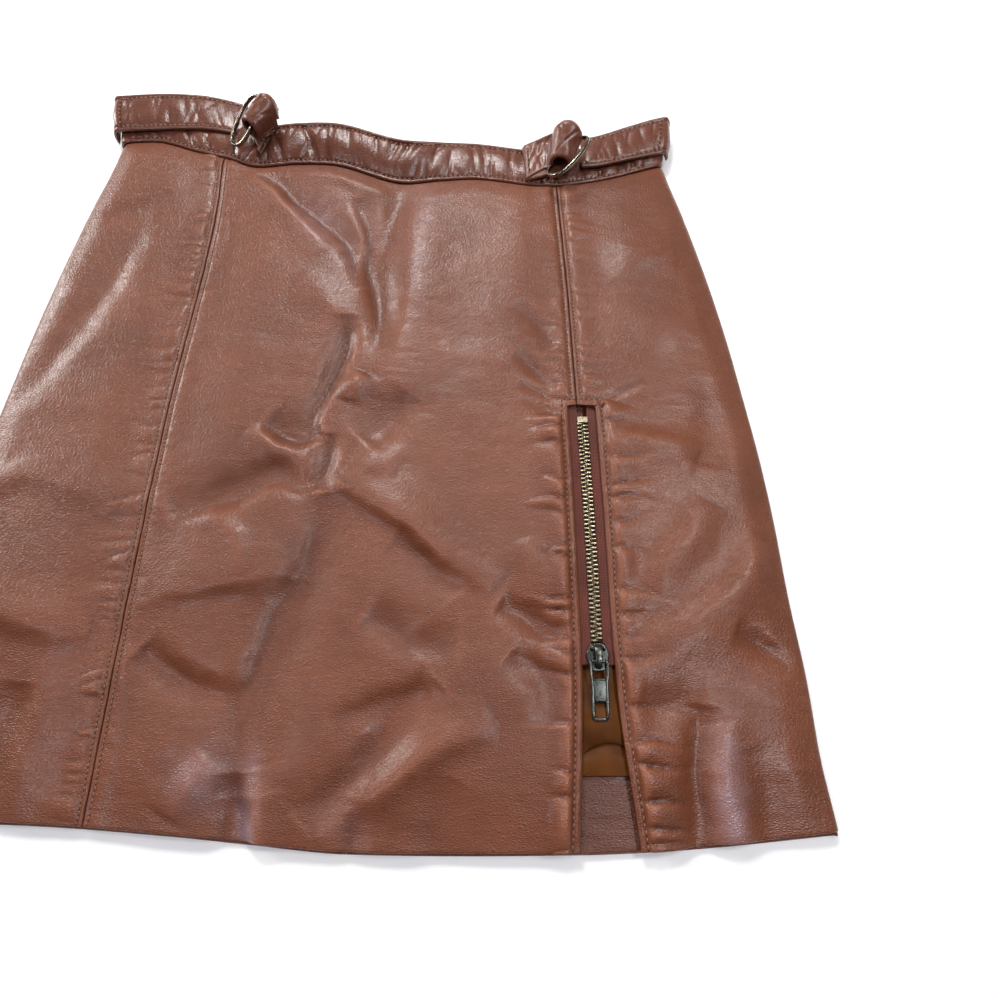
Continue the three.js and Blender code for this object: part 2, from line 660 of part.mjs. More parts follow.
// The bridge in side view: an arch that the pull's pin lies under
function bridgeArch() {
  const half = BRIDGE.length / 2;
  const rise = BRIDGE.clearance;
  const top = rise + BRIDGE.strap;
  const arch = new THREE.Shape();
  arch.moveTo(-half, -BRIDGE.root);
  arch.lineTo(-half, rise * 0.6);
  arch.quadraticCurveTo(-half, top, -half + top * 0.7, top);
  arch.lineTo(half - top * 0.9, top);
  arch.quadraticCurveTo(half, top * 0.8, half, -BRIDGE.root);
  arch.lineTo(half - BRIDGE.strap, -BRIDGE.root);
  arch.quadraticCurveTo(half - BRIDGE.strap, rise * 0.75, half - top * 0.9, rise);
  arch.lineTo(-half + top * 0.7, rise);
  arch.quadraticCurveTo(-half + BRIDGE.strap, rise, -half + BRIDGE.strap, rise * 0.5);
  arch.lineTo(-half + BRIDGE.strap, -BRIDGE.root);
  const geometry = new THREE.ExtrudeGeometry(arch, { depth: BRIDGE.width, bevelEnabled: false, curveSegments: 4 });
  geometry.translate(0, 0, -BRIDGE.width / 2);
  geometry.applyMatrix4(new THREE.Matrix4().makeBasis(
    new THREE.Vector3(0, 1, 0), new THREE.Vector3(0, 0, 1), new THREE.Vector3(1, 0, 0),
  ));
  geometry.translate(0, 0, SLIDER.below + SLIDER.above);
  return geometry;
}
const slider = addPiece('zip_slider', joined(sliderBody(), bridgeArch()), COLOURS.steel);
slider.position.set(sliderX, SLIDER.y, sliderTape - SLIDER.below);

// The pull tab: a flat plate with a window round the bridge and a smaller one near its tip
function pullPlate() {
  const { length, width, yokeWidth, bar, wall } = PULL;
  const plate = new THREE.Shape();
  plate.moveTo(-yokeWidth / 2, bar / 2);
  plate.lineTo(-yokeWidth / 2, -PULL_WINDOWS.yoke * 0.7);
  plate.lineTo(-width / 2, -PULL_WINDOWS.yoke * 1.1);
  plate.lineTo(-width / 2, -length + 1);
  plate.quadraticCurveTo(-width / 2, -length, -width / 2 + 1, -length);
  plate.lineTo(width / 2 - 1, -length);
  plate.quadraticCurveTo(width / 2, -length, width / 2, -length + 1);
  plate.lineTo(width / 2, -PULL_WINDOWS.yoke * 1.1);
  plate.lineTo(yokeWidth / 2, -PULL_WINDOWS.yoke * 0.7);
  plate.lineTo(yokeWidth / 2, bar / 2);
  const window = (low, high, half) => {
    const hole = new THREE.Path();
    hole.moveTo(-half, low);
    hole.lineTo(-half, high);
    hole.lineTo(half, high);
    hole.lineTo(half, low);
    plate.holes.push(hole);
  };
  window(-PULL_WINDOWS.yoke, -bar / 2, yokeWidth / 2 - bar);
  const lowerTop = -PULL_WINDOWS.yoke - PULL_WINDOWS.plate;
  window(lowerTop - PULL_WINDOWS.lower, lowerTop, width / 2 - bar);
  const geometry = new THREE.ExtrudeGeometry(plate, { depth: wall, bevelEnabled: false, curveSegments: 2 });
  geometry.translate(0, 0, -wall / 2);
  return geometry;
}
const pull = addPiece('zip_pull', pullPlate(), COLOURS.steel);
const pinY = SLIDER.y - BRIDGE.length / 2 + BRIDGE.pinFromEnd;
const pinZ = sliderTape + SLIDER.above + BRIDGE.clearance - PULL.wall / 2 - PULL.play;
pull.position.set(sliderX, pinY, pinZ);
pull.rotation.x = THREE.MathUtils.degToRad(PULL.slope);

// Lining and the turned-up hem of the back, where they show in the vent

function liningFace(u, v) {
  const x = THREE.MathUtils.lerp(LINING.left, LINING.right, u);
  const y = THREE.MathUtils.lerp(LINING.low, LINING.high, v);
  const beside = (x - LINING.middle) / LINING.puffWidth;
  const floor = LINING.floor + (y < FACING.high + FACING.covered ? LINING.step : 0);
  const puff = Math.max(lookUp(LINING_HEIGHT, 'y', 'z', y) - floor, 0);
  return new THREE.Vector3(x, y, floor + puff * Math.exp(-beside * beside));
}
addPiece('lining', wallGeometry(liningFace, steps(0, 1, 8), steps(0, 1, 12), SATIN), COLOURS.satin);

function facingFace(u, v) {
  const x = THREE.MathUtils.lerp(FACING.left, FACING.right, u);
  const y = THREE.MathUtils.lerp(hemLine(x) - BACK_HEM_DROP + FACING.inset, FACING.high, v);
  return new THREE.Vector3(x, y, LEATHER + SEAM_GAP + FACING.wall);
}
addPiece('hem_facing', wallGeometry(facingFace, steps(0, 1, 4), steps(0, 1, 1), FACING.wall), COLOURS.leather);

// The origin is the middle of the skirt's footprint, on the table
const box = new THREE.Box3().setFromObject(garment, true);
garment.position.set(-(box.min.x + box.max.x) / 2, -(box.min.y + box.max.y) / 2, -box.min.z);

const skirt = new THREE.Group();
skirt.add(garment);
export default skirt;
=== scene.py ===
"""Leather mini skirt, laid flat: soft leather shells, stitching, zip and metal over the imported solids.

Tables are in millimetres in the garment's own frame: X across, Y from hem to waist, Z up from the table.
"""
import math

import bpy
import numpy as np
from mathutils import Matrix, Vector


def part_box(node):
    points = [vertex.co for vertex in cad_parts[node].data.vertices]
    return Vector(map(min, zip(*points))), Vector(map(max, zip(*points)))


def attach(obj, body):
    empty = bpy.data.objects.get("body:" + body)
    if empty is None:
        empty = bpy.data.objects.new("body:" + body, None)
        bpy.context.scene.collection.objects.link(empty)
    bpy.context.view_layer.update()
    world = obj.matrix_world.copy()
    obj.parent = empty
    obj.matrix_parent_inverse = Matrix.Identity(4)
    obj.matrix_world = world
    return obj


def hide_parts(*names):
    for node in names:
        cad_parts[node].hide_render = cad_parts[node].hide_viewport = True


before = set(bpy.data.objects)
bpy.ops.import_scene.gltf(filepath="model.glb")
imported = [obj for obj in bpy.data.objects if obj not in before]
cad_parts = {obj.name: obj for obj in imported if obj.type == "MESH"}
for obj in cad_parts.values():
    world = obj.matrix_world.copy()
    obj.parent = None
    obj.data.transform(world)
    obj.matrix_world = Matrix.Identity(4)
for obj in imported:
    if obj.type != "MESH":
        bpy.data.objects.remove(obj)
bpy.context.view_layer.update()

MM = 0.001
BODY = "skirt"

# The hem facing's low X is 90 and its high Y is 34 in the garment's frame
_low, _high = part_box("hem_facing")
OFFSET = np.array([_low.x / MM - 90.0, _high.y / MM - 34.0, 0.0])

# ---- Sizes ----

LEATHER = 1.4
PANEL_GAP = 0.24
EDGE_ROUND = 1.0
FOLD_RADIUS = 3.2
FRONT_ROLL = 4.2
HEM_HEIGHT = 5.4
WAIST_RISE_START = 215.0
LOWEST_FRONT = 3.4
ZIP_TOP = 203.0
ZIP_CORNER = 0.8
SEAM_STITCH = 2.3
ZIP_STITCH = 3.0
BAND_WIDTH = 25.4
BAND_HALF = 160.0
BAND_FLARE = 0.12
BAND_ROLL = 5.0
BAND_CROWN = 0.7
BELT_WIDTH = 24.0
BACK_HEM_DROP = 1.8

# Half of the laid skirt's width at each height: y, half
SIDE_OUTLINE = [
    (-6, 207), (8, 206.1), (35, 203.2), (69, 202), (105, 199), (143, 197), (175, 194.2), (208, 190),
    (243, 185.1), (281, 178.2), (322, 169), (351, 161.5), (376, 157),
]
# Hem line of the front: x, y
HEM = [(-207, 13), (-130, 10.5), (-75, 6.7), (-43, 3.8), (0, 0), (98, -0.3), (148, 2), (207, 7.3)]
# Waist seam of the front: x, y, z, lean of the band above it in degrees
WAIST = [
    (-166, 371, 10, 4), (-136, 372, 10.5, 4), (-112, 365, 10, 4), (-94, 361, 9, 6), (-78, 355, 9, 12),
    (-52, 357, 9, 13.5), (-29, 355.5, 9, 16), (6, 344, 8, 19), (29, 345.7, 8, 8), (52, 347, 8, 2),
    (90, 342, 8, 1), (122, 346, 8, -2), (157, 357, 7.5, 3), (166, 360, 7.5, 3),
]
BACK_WAIST = [(-166, 367), (-100, 357), (0, 350), (100, 350), (166, 359)]
# Lower edge of each side belt: x, y, z, lean
BELTS = {
    "left": [(-170, 376, 14, 6), (-136, 377, 14.4, 8), (-112, 377.6, 14.4, 4), (-97, 376.2, 14, 0), (-84, 374, 12.4, -2)],
    "right": [(111, 351.5, 12.6, -7), (122, 352.8, 12.2, -4), (140, 358, 11.4, 2), (157, 362.5, 11, 7), (170, 365, 11, 7)],
}
# Princess seams: y, x
LEFT_SEAM = [(-6, -110), (100, -108), (196, -105), (252, -100.4), (310, -95.6), (370, -96.5)]
RIGHT_SEAM = [(190, 104), (265, 101.5), (311, 98.7), (350, 96.6)]
# Leather edges of the zip and vent: y, left, right
ZIP_EDGES = [
    (-6, 97, 123), (2, 97.5, 122.5), (52, 100.4, 117), (85, 101.1, 115.5), (142, 100.3, 114.6),
    (194, 99.1, 113.2), (206, 98.8, 112.6),
]
# Folds of the front: points along it, height, or depth if negative, and its width on the left and the
# right hand of the way along it
FOLDS = [
    ([(-74, 350), (-56, 335), (-38, 318), (-19, 298), (-10, 273)], -2.4, 6, 3),
    ([(-80, 348), (-63, 330), (-47, 314), (-31, 293)], 1.0, 1.8, 5),
    ([(-48, 353), (-25, 342), (0, 335)], 1.1, 3, 4),
    ([(0, 234), (-2, 262), (-7, 285), (-9, 308), (-17, 329)], -1.9, 2.2, 6),
    ([(-34, 187), (-27, 206), (-21, 222), (-17, 238), (-15, 255)], -2.8, 5, 3),
    ([(-12, 204), (-8, 214), (-5, 221)], 2.0, 4.5, 4.5),
    ([(-54, 193), (-37, 184), (-24, 188)], -2.4, 8, 2.6),
    ([(-63, 189), (-45, 179), (-27, 169)], 1.1, 2, 6),
    ([(-94, 145), (-78, 152), (-62, 157), (-46, 163), (-24, 159)], -3.0, 8, 4),
    ([(-24, 158), (-21, 172), (-19, 187)], -1.9, 4, 3),
    ([(0, 244), (1, 278), (4, 305), (8, 329), (9, 343)], -1.7, 5, 8),
    ([(9, 206), (14, 247), (17, 292), (17, 338)], 1.3, 8, 13),
    ([(-1, 182), (9, 194), (20, 208)], -1.8, 8, 6),
    ([(-15, 163), (5, 152), (21, 141), (39, 126), (60, 109)], 2.3, 10, 3.5),
    ([(-9, 163), (3, 172), (16, 168)], 0.9, 6, 6),
    ([(13, 132), (29, 121), (44, 105)], -1.3, 4, 8),
    ([(-45, 21), (-47, 41), (-47, 57), (-42, 76), (-35, 98), (-28, 118), (-22, 136), (-23, 156)], -2.9, 6, 12),
    ([(-45, -16), (-45, 12), (-46, 30)], -2.7, 6, 4.5),
    ([(-32, -14), (-37, 12), (-43, 31)], 1.7, 4, 7),
    ([(-102, 106), (-75, 111), (-52, 114), (-27, 117)], 1.7, 15, 4.5),
    ([(-98, 83), (-85, 73), (-71, 64), (-49, 58)], -2.5, 5, 7),
    ([(-72, 13), (-64, 25), (-57, 36)], 1.7, 6, 5),
    ([(-16, 9), (-5, 21), (6, 32), (16, 46), (26, 58), (37, 69)], -2.7, 6, 9),
    ([(-9, 50), (12, 58), (34, 66)], -1.2, 3, 5),
    ([(-10, 4), (6, 19), (23, 31), (40, 42), (61, 52)], 2.1, 6, 4.5),
    ([(3, 98), (16, 91), (29, 83), (45, 82)], -1.9, 6, 5),
    ([(63, 102), (77, 96), (86, 91), (97, 93)], -2.8, 4, 4.5),
    ([(69, 82), (80, 73), (88, 62), (89, 50)], -2.3, 4.5, 7),
    ([(117, 177), (130, 183), (145, 181), (163, 175)], 1.5, 4, 8),
    ([(134, 107), (145, 122), (155, 135), (165, 150)], 1.1, 5, 6),
    ([(125, 85), (146, 89), (164, 99), (179, 114), (192, 130)], 2.0, 6, 10),
    ([(170, 90), (183, 83), (197, 77)], -1.5, 3, 4.5),
    ([(147, -14), (149, 24), (151, 41), (154, 57)], -2.5, 5, 4),
    ([(167, -14), (162, 14), (158, 32), (156, 49)], 1.8, 6, 8),
    ([(126, 60), (139, 57), (153, 54)], -1.1, 6, 6),
    ([(115, 204), (127, 211), (139, 216)], -0.7, 1.6, 2.2),
    ([(116, 201), (130, 205), (141, 207)], -0.5, 1.5, 2.2),
    ([(73, 218), (85, 210), (95, 205)], -0.9, 1.8, 2.6),
    ([(75, 208), (86, 202), (95, 198)], -0.7, 1.6, 2.4),
    ([(72, 234), (84, 223), (93, 213)], -1.2, 3, 4),
    ([(71, 262), (85, 251), (95, 239)], -1.0, 3, 4),
    ([(76, 132), (81, 118), (84, 104)], 1.0, 5, 5),
    ([(-45, 274), (-28, 265), (-14, 247)], 0.7, 7, 7),
    ([(-78, 149), (-61, 132), (-56, 116)], 0.8, 4, 4),
    ([(40, -14), (38, 8), (44, 27)], -0.9, 6, 8),
    ([(3, -14), (3, 6), (4, 20)], -0.8, 3, 4),
    ([(176, -14), (176, 16), (173, 40)], -0.8, 6, 8),
    ([(138, 235), (154, 247), (171, 252)], 0.9, 8, 8),
    ([(125, 275), (142, 291), (161, 291)], 0.9, 8, 8),
    ([(165, 168), (171, 189), (172, 218)], -0.8, 7, 9),
    ([(-198, 122), (-176, 106), (-150, 93), (-122, 90)], 2.0, 10, 5),
    ([(-184, 200), (-164, 240), (-144, 285), (-132, 322)], -1.5, 8, 6),
    ([(-160, -14), (-152, 36), (-148, 66)], -1.8, 6, 5),
    ([(-180, -12), (-172, 26), (-168, 48)], 1.4, 6, 7),
    ([(-190, 158), (-165, 165), (-140, 160), (-118, 150)], 1.2, 7, 5),
    ([(-196, 62), (-170, 53), (-140, 60)], -1.2, 7, 6),
    ([(-156, 316), (-140, 322), (-120, 332)], -0.9, 4, 5),
]
# The lining's way along the vent from its far end, with the tuck across its middle: y, z
LINING_PATH = [
    (100, 2.8), (90, 3.0), (80, 3.4), (70, 4.3), (62, 5.5), (55, 6.5), (49, 6.9), (45, 6.5), (42.4, 5.7), (41.8, 5.1),
    (43.2, 4.6), (46.2, 4.3), (47.4, 3.8), (46, 3.3), (43, 3.5), (40, 4.5), (37, 5.1), (34, 5.1), (31, 4.8), (28.4, 4.4),
]


# ---- Curves, noise and folds ----

def curve(rows, at, column=1):
    """A smooth curve through a table's rows, read at many places at once."""
    data = np.array(rows, float)
    xs, ys = data[:, 0], data[:, column]
    n = len(xs)
    lo, hi = np.maximum(np.arange(n) - 1, 0), np.minimum(np.arange(n) + 1, n - 1)
    slope = (ys[hi] - ys[lo]) / (xs[hi] - xs[lo])
    at = np.asarray(at, float)
    i = np.clip(np.searchsorted(xs, at, side="right") - 1, 0, n - 2)
    span = xs[i + 1] - xs[i]
    t = np.clip((at - xs[i]) / span, 0, 1)
    t2, t3 = t * t, t * t * t
    return ((2 * t3 - 3 * t2 + 1) * ys[i] + (t3 - 2 * t2 + t) * span * slope[i]
            + (3 * t2 - 2 * t3) * ys[i + 1] + (t3 - t2) * span * slope[i + 1])


def smooth(at, low, high):
    t = np.clip((at - low) / (high - low), 0, 1)
    return t * t * (3 - 2 * t)


def roll_up(distance, width):
    t = np.clip(1 - distance / width, 0, 1)
    return np.sqrt(1 - t * t)


def wobble(x, y, size_x, size_y, seed):
    """Smooth noise from -1 to 1 with features of the given sizes."""
    table = np.random.RandomState(seed).uniform(-1, 1, (97, 89))
    gx, gy = np.asarray(x) / size_x + 31.7, np.asarray(y) / size_y + 17.3
    ix, iy = np.floor(gx).astype(int), np.floor(gy).astype(int)
    fx, fy = gx - ix, gy - iy
    fx, fy = fx * fx * (3 - 2 * fx), fy * fy * (3 - 2 * fy)
    a, b = table[ix % 97, iy % 89], table[(ix + 1) % 97, iy % 89]
    c, d = table[ix % 97, (iy + 1) % 89], table[(ix + 1) % 97, (iy + 1) % 89]
    return (a * (1 - fx) + b * fx) * (1 - fy) + (c * (1 - fx) + d * fx) * fy


def smooth_path(points, parts=5):
    """A smooth curve through the points."""
    p = np.array([2 * np.array(points[0]) - points[1], *points, 2 * np.array(points[-1]) - points[-2]], float)
    t = np.linspace(0, 1, parts, endpoint=False)[:, None]
    pieces = []
    for a, b, c, d in zip(p, p[1:], p[2:], p[3:]):
        pieces.append(0.5 * (2 * b + (c - a) * t + (2 * a - 5 * b + 4 * c - d) * t ** 2 + (3 * b - a - 3 * c + d) * t ** 3))
    return np.concatenate([*pieces, p[-2:-1]])


def near_path(path, x, y):
    """Distance from each point to a path, positive on its left hand, and the share of its length gone by."""
    best = np.full(x.shape, 1e9)
    side, along = np.ones(x.shape), np.zeros(x.shape)
    steps = len(path) - 1
    for i in range(steps):
        (ax, ay), (dx, dy) = path[i], path[i + 1] - path[i]
        s = np.clip(((x - ax) * dx + (y - ay) * dy) / (dx * dx + dy * dy), 0, 1)
        d = np.hypot(x - ax - s * dx, y - ay - s * dy)
        nearer = d < best
        best = np.where(nearer, d, best)
        along = np.where(nearer, (i + s) / steps, along)
        side = np.where(nearer, np.sign(dx * (y - ay) - dy * (x - ax)), side)
    return best * side, along


def folds_at(x, y):
    """The folds' height at each point. Each fold fades out towards both ends."""
    z = np.zeros(x.shape)
    xs = x + 1.6 * wobble(x, y, 17, 17, 6) + 0.5 * wobble(x, y, 6, 6, 7)
    ys = y + 1.6 * wobble(x, y, 17, 17, 8) + 0.5 * wobble(x, y, 6, 6, 9)
    for points, height, left, right in FOLDS:
        path = smooth_path(points)
        reach = 3 * max(left, right)
        low, high = path.min(0) - reach, path.max(0) + reach
        near = (xs > low[0]) & (xs < high[0]) & (ys > low[1]) & (ys < high[1])
        if near.any():
            d, t = near_path(path, xs[near], ys[near])
            fade = np.clip(np.sin(np.pi * t), 0, 1) ** 0.55
            wide = 0.9 + 1.25 * np.where(d > 0, left, right)
            z[near] += 1.85 * height * fade * np.exp(-(d / wide) ** 2)
    return z


def zip_left(y):
    return curve(ZIP_EDGES, y, 1)


def zip_right(y):
    return curve(ZIP_EDGES, y, 2)


def zip_middle(y):
    return (zip_left(y) + zip_right(y)) / 2


def side_half(y):
    return curve(SIDE_OUTLINE, y)


def hem_line(x):
    return curve(HEM, x)


def waist_line(x):
    return curve(WAIST, x, 1)


def open_at(y):
    return 1 - smooth(y, ZIP_TOP - ZIP_CORNER, ZIP_TOP)


def left_of_right_seam(y):
    closed = curve(RIGHT_SEAM, y) - PANEL_GAP / 2
    return closed + (zip_left(y) - closed) * open_at(y)


def right_of_right_seam(y):
    closed = curve(RIGHT_SEAM, y) + PANEL_GAP / 2
    return closed + (zip_right(y) - closed) * open_at(y)


def left_seam(y):
    return curve(LEFT_SEAM, y)


# ---- Puckers along the stitched seams ----

def pillow_valleys(seed, low, high, spacing):
    """Valleys between the pillows along a stitched line: place along it, slant and bend."""
    rng = np.random.RandomState(seed)
    rows = []
    at = low
    while at < high:
        rows.append((at, np.clip(rng.normal(0, 0.12), -0.2, 0.2), np.clip(rng.normal(0, 0.008), -0.012, 0.012)))
        at += spacing * rng.choice([0.6, 0.8, 1.0, 1.25, 1.6, 2.1])
    return rows


# Each: the stitched line's x as a function of y, the side it faces, its valleys, reach, height and seed
PILLOWED = [
    (lambda y: left_seam(y) - SEAM_STITCH, -1, pillow_valleys(11, -4, 372, 6.2), 8.5, 1.35, 101),
    (lambda y: left_seam(y) + SEAM_STITCH, 1, pillow_valleys(12, -4, 372, 6.0), 3.6, 0.5, 102),
    (lambda y: curve(RIGHT_SEAM, y) - SEAM_STITCH, -1, pillow_valleys(13, 207, 350, 7.0), 8, 0.9, 103),
    (lambda y: curve(RIGHT_SEAM, y) + SEAM_STITCH, 1, pillow_valleys(14, 207, 350, 7.6), 10, 1.1, 104),
    (lambda y: zip_left(y) - ZIP_STITCH, -1, pillow_valleys(15, -4, 207, 9.4), 9.5, 3.2, 105),
    (lambda y: zip_right(y) + ZIP_STITCH, 1, pillow_valleys(18, -4, 207, 9.6), 10.5, 3.2, 106),
]


def add_pillows(z, x, y):
    """Puffs the leather between the valleys that run away from each stitched line."""
    for line, side, valleys, reach, height, seed in PILLOWED:
        away = (x - line(y)) * side
        near = (away > -2.4) & (away < 3.2 * reach)
        if not near.any():
            continue
        a = away[near]
        yy = y[near] + 1.2 * wobble(x[near], y[near], 14, 11, seed) * smooth(a, 1, 8)
        total = np.zeros(a.shape)
        rng = np.random.RandomState(seed)
        for (p, p_slant, p_bend), (q, q_slant, q_bend) in zip(valleys, valleys[1:]):
            tall, far = rng.uniform(0.35, 1.2), reach * rng.uniform(0.5, 1.45)
            low = p + p_slant * a + p_bend * a * a
            high = q + q_slant * a + q_bend * a * a
            t = (yy - low) / np.maximum(high - low, 0.5)
            inside = (t > 0) & (t < 1)
            ti, ai = t[inside], a[inside]
            rise = smooth(ai, 0, 2.8) * np.exp(-(np.maximum(ai - 3, 0) / far) ** 2)
            rise = rise + 0.16 * (1 - smooth(ai, -0.6, 1.0)) * smooth(ai, -2.4, -1.2)
            size = min(1.0, (q - p) / 7.0) ** 0.6
            total[inside] += height * tall * size * (4 * ti * (1 - ti)) ** 0.5 * (0.8 + 0.4 * ti) * rise
        z[near] += total
    return z


def pressed_by_stitches(x, y):
    """How far each stitched row pulls the leather down, and how it swells just beside the row."""
    z = np.zeros(np.shape(x))
    lines = [
        (left_seam(y) - SEAM_STITCH, -1, 0.30, 0.1, -10, 380),
        (left_seam(y) + SEAM_STITCH, 1, 0.28, 0.1, -10, 380),
        (curve(RIGHT_SEAM, y) - SEAM_STITCH, -1, 0.28, 0.1, ZIP_TOP + 4, 380),
        (curve(RIGHT_SEAM, y) + SEAM_STITCH, 1, 0.28, 0.1, ZIP_TOP + 4, 380),
        (zip_left(y) - ZIP_STITCH, -1, 0.42, 0.1, -10, ZIP_TOP + 3),
        (zip_right(y) + ZIP_STITCH, 1, 0.42, 0.1, -10, ZIP_TOP + 3),
    ]
    for line, side, groove, swell, low, high in lines:
        d = (x - line) * side
        on = smooth(y, low - 1, low + 1) * (1 - smooth(y, high - 1, high + 1))
        z -= groove * np.exp(-(d / 0.75) ** 2) * on
        z += swell * np.exp(-((d - 5) / 3.2) ** 2) * on
    above_zip = y - (ZIP_TOP + ZIP_STITCH)
    across = smooth(x, 95, 96) * (1 - smooth(x, 116, 117))
    z -= 0.4 * np.exp(-(above_zip / 0.75) ** 2) * across
    return z


# Shiny places of wear on the front, also given a painted pale lavender sheen in the colour: x, y, half sizes,
# strength
POLISH_AND_SHEEN_PLACES = [
    (-62, 27, 10, 12, 0.8), (-41, 15, 4.5, 18, 1.1), (161, 21, 6, 24, 1.2), (-2, 12, 8, 7, 0.3),
    (-38, 318, 12, 22, 0.35), (-20, 292, 8, 20, 0.3), (20, 300, 6, 34, 0.4),
]


def polish_and_sheen_at(x, y):
    """How shiny the leather is from wear at each point, from 0 to about 1; the same amount mixes a painted sheen into
    the colour.
    """
    total = np.zeros(x.shape)
    for px, py, sx, sy, strength in POLISH_AND_SHEEN_PLACES:
        total += strength * np.exp(-((x - px) / sx) ** 2 - ((y - py) / sy) ** 2)
    return total * (0.75 + 0.5 * wobble(x, y, 7, 5, 33))


def base_height(x, y):
    """Height of the front's outer face without its folds, how far it is from the waist and from the side."""
    waist = waist_line(x)
    rise = smooth(y, WAIST_RISE_START, waist)
    z = HEM_HEIGHT + (curve(WAIST, x, 2) - HEM_HEIGHT) * rise
    beside = (x - zip_middle(y)) / 20
    z = z + 1.8 * np.exp(-beside ** 2) * (1 - smooth(y, ZIP_TOP, ZIP_TOP + 50))
    inward = side_half(y) - np.abs(x)
    return z + 0.9 * (roll_up(inward, 45) - 0.4), waist - y, inward


def front_height(x, y):
    """Height of the front's outer face, with its folds, puckers and small wrinkles."""
    x, y = np.broadcast_arrays(np.asarray(x, float), np.asarray(y, float))
    z, below_waist, inward = base_height(x, y)
    fade = smooth(below_waist, 0, 14) * smooth(inward, 0, 16)
    seams = np.minimum(np.abs(x - left_seam(y)), np.abs(x - zip_middle(y)))
    z += 2.2 * smooth(seams, 4, 34) * smooth(y, -4, 34) * fade
    z += folds_at(x, y) * fade * (0.3 + 0.7 * smooth(seams, 3, 9))
    z += 0.6 * wobble(x, y, 46, 38, 1) * fade + 0.3 * wobble(x + 0.4 * y, y, 19, 13, 2) * fade
    ripple = 1 - np.abs(wobble(x + 0.15 * y, y + 0.1 * x, 13, 4.6, 3)) * 2
    z += 0.10 * ripple * (0.55 + 0.45 * wobble(x, y, 60, 60, 4)) * smooth(below_waist, 0, 8)
    z += 0.05 * wobble(x, y, 4.5, 2.2, 5)
    z = LOWEST_FRONT + 0.5 * np.logaddexp(0, (z - LOWEST_FRONT) / 0.5)
    z = add_pillows(np.array(z), x, y)
    z += pressed_by_stitches(x, y)
    z -= 1.0 * np.exp(-(np.maximum(below_waist, 0) / 3.0) ** 2)
    edge = FOLD_RADIUS + 0.15
    return edge + (z - edge) * roll_up(inward, FRONT_ROLL)


# ---- Meshes ----


def make_mesh(name, points, faces, material, replaces=(), smooth_faces=True, attributes=None, body=BODY):
    """A mesh object from points in millimetres in the garment's frame."""
    points = (np.asarray(points, float) + OFFSET) * MM
    counts = np.array([len(f) for f in faces])
    loops = np.concatenate([np.asarray(f) for f in faces]).astype(np.int32)
    mesh = bpy.data.meshes.new(name)
    mesh.vertices.add(len(points))
    mesh.vertices.foreach_set("co", points.astype(np.float32).ravel())
    mesh.loops.add(len(loops))
    mesh.loops.foreach_set("vertex_index", loops)
    mesh.polygons.add(len(counts))
    mesh.polygons.foreach_set("loop_start", np.concatenate([[0], np.cumsum(counts)[:-1]]).astype(np.int32))
    mesh.polygons.foreach_set("use_smooth", np.full(len(counts), smooth_faces))
    mesh.update(calc_edges=True)
    for key, values in (attributes or {}).items():
        layer = mesh.attributes.new(key, "FLOAT", "POINT")
        layer.data.foreach_set("value", np.asarray(values, np.float32).ravel())
    mesh.materials.append(material)
    mesh.validate()
    obj = bpy.data.objects.new(name, mesh)
    bpy.context.scene.collection.objects.link(obj)
    if replaces:
        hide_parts(*replaces)
    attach(obj, body)
    return obj


def grid_quads(index):
    """Quads of a grid of vertex numbers."""
    a, b, c, d = index[:-1, :-1], index[:-1, 1:], index[1:, 1:], index[1:, :-1]
    return np.stack([a, b, c, d], axis=-1).reshape(-1, 4)


def unit_normals(top):
    n = np.cross(np.gradient(top, axis=1), np.gradient(top, axis=0))
    return n / np.maximum(np.linalg.norm(n, axis=2, keepdims=True), 1e-9)


def bend_amount(top, normals, reach=2):
    """How much the face curves at each point: positive on ridges, negative in troughs."""
    total = np.zeros(top.shape[:2])
    for axis in (0, 1):
        for step in (reach,):
            ahead, behind = np.roll(top, -step, axis), np.roll(top, step, axis)
            total += ((top - (ahead + behind) / 2) * normals).sum(2)
    total[:reach], total[-reach:], total[:, :reach], total[:, -reach:] = 0, 0, 0, 0
    return total


def shell(name, top, edge, wall, material, replaces, radius=EDGE_ROUND, polish_and_sheen=None):
    """A closed cloth shell: top is its outer face as a grid, edge how far each point is from the rim."""
    normals = unit_normals(top)
    t = np.clip(1 - edge / radius, 0, 1)
    drop = (wall / 2 * (1 - np.sqrt(1 - t * t)))[..., None]
    outer, inner = top - normals * drop, top - normals * (wall - drop)
    rows, cols = top.shape[:2]
    above = np.arange(rows * cols).reshape(rows, cols)
    below = above + rows * cols
    rim = np.ones((rows, cols), bool)
    rim[1:-1, 1:-1] = False
    below[rim] = above[rim]
    faces = np.concatenate([grid_quads(above), grid_quads(below)[:, ::-1]])
    points = np.concatenate([outer.reshape(-1, 3), inner.reshape(-1, 3)])
    # The bend drives the painted crease shade and the lighter ridges in the leather material.
    bend = np.concatenate([bend_amount(top, normals).ravel(), np.zeros(rows * cols)])
    used, renumbered = np.unique(faces, return_inverse=True)
    faces = renumbered.reshape(faces.shape)
    marks = {"bend": bend[used]}
    if polish_and_sheen is not None:
        marks["polish_and_sheen"] = np.concatenate([polish_and_sheen.ravel(), np.zeros(rows * cols)])[used]
    obj = make_mesh(name, points[used], faces, material, replaces, attributes=marks)
    return obj


NEAR_EDGE = np.array([0, 0.12, 0.35, 0.7, 1.1, 1.6, 2.0, 2.4, 2.8, 3.2, 3.7, 4.4, 5.4])


# ---- Materials ----

def new_material(name):
    material = bpy.data.materials.new(name)
    material.use_nodes = True
    nodes, links = material.node_tree.nodes, material.node_tree.links
    return material, nodes, links, nodes["Principled BSDF"]


def add_node(nodes, kind, **values):
    node = nodes.new(kind)
    for key, value in values.items():
        if key.startswith("in_"):
            node.inputs[key[3:].replace("_", " ")].default_value = value
        else:
            setattr(node, key, value)
    return node


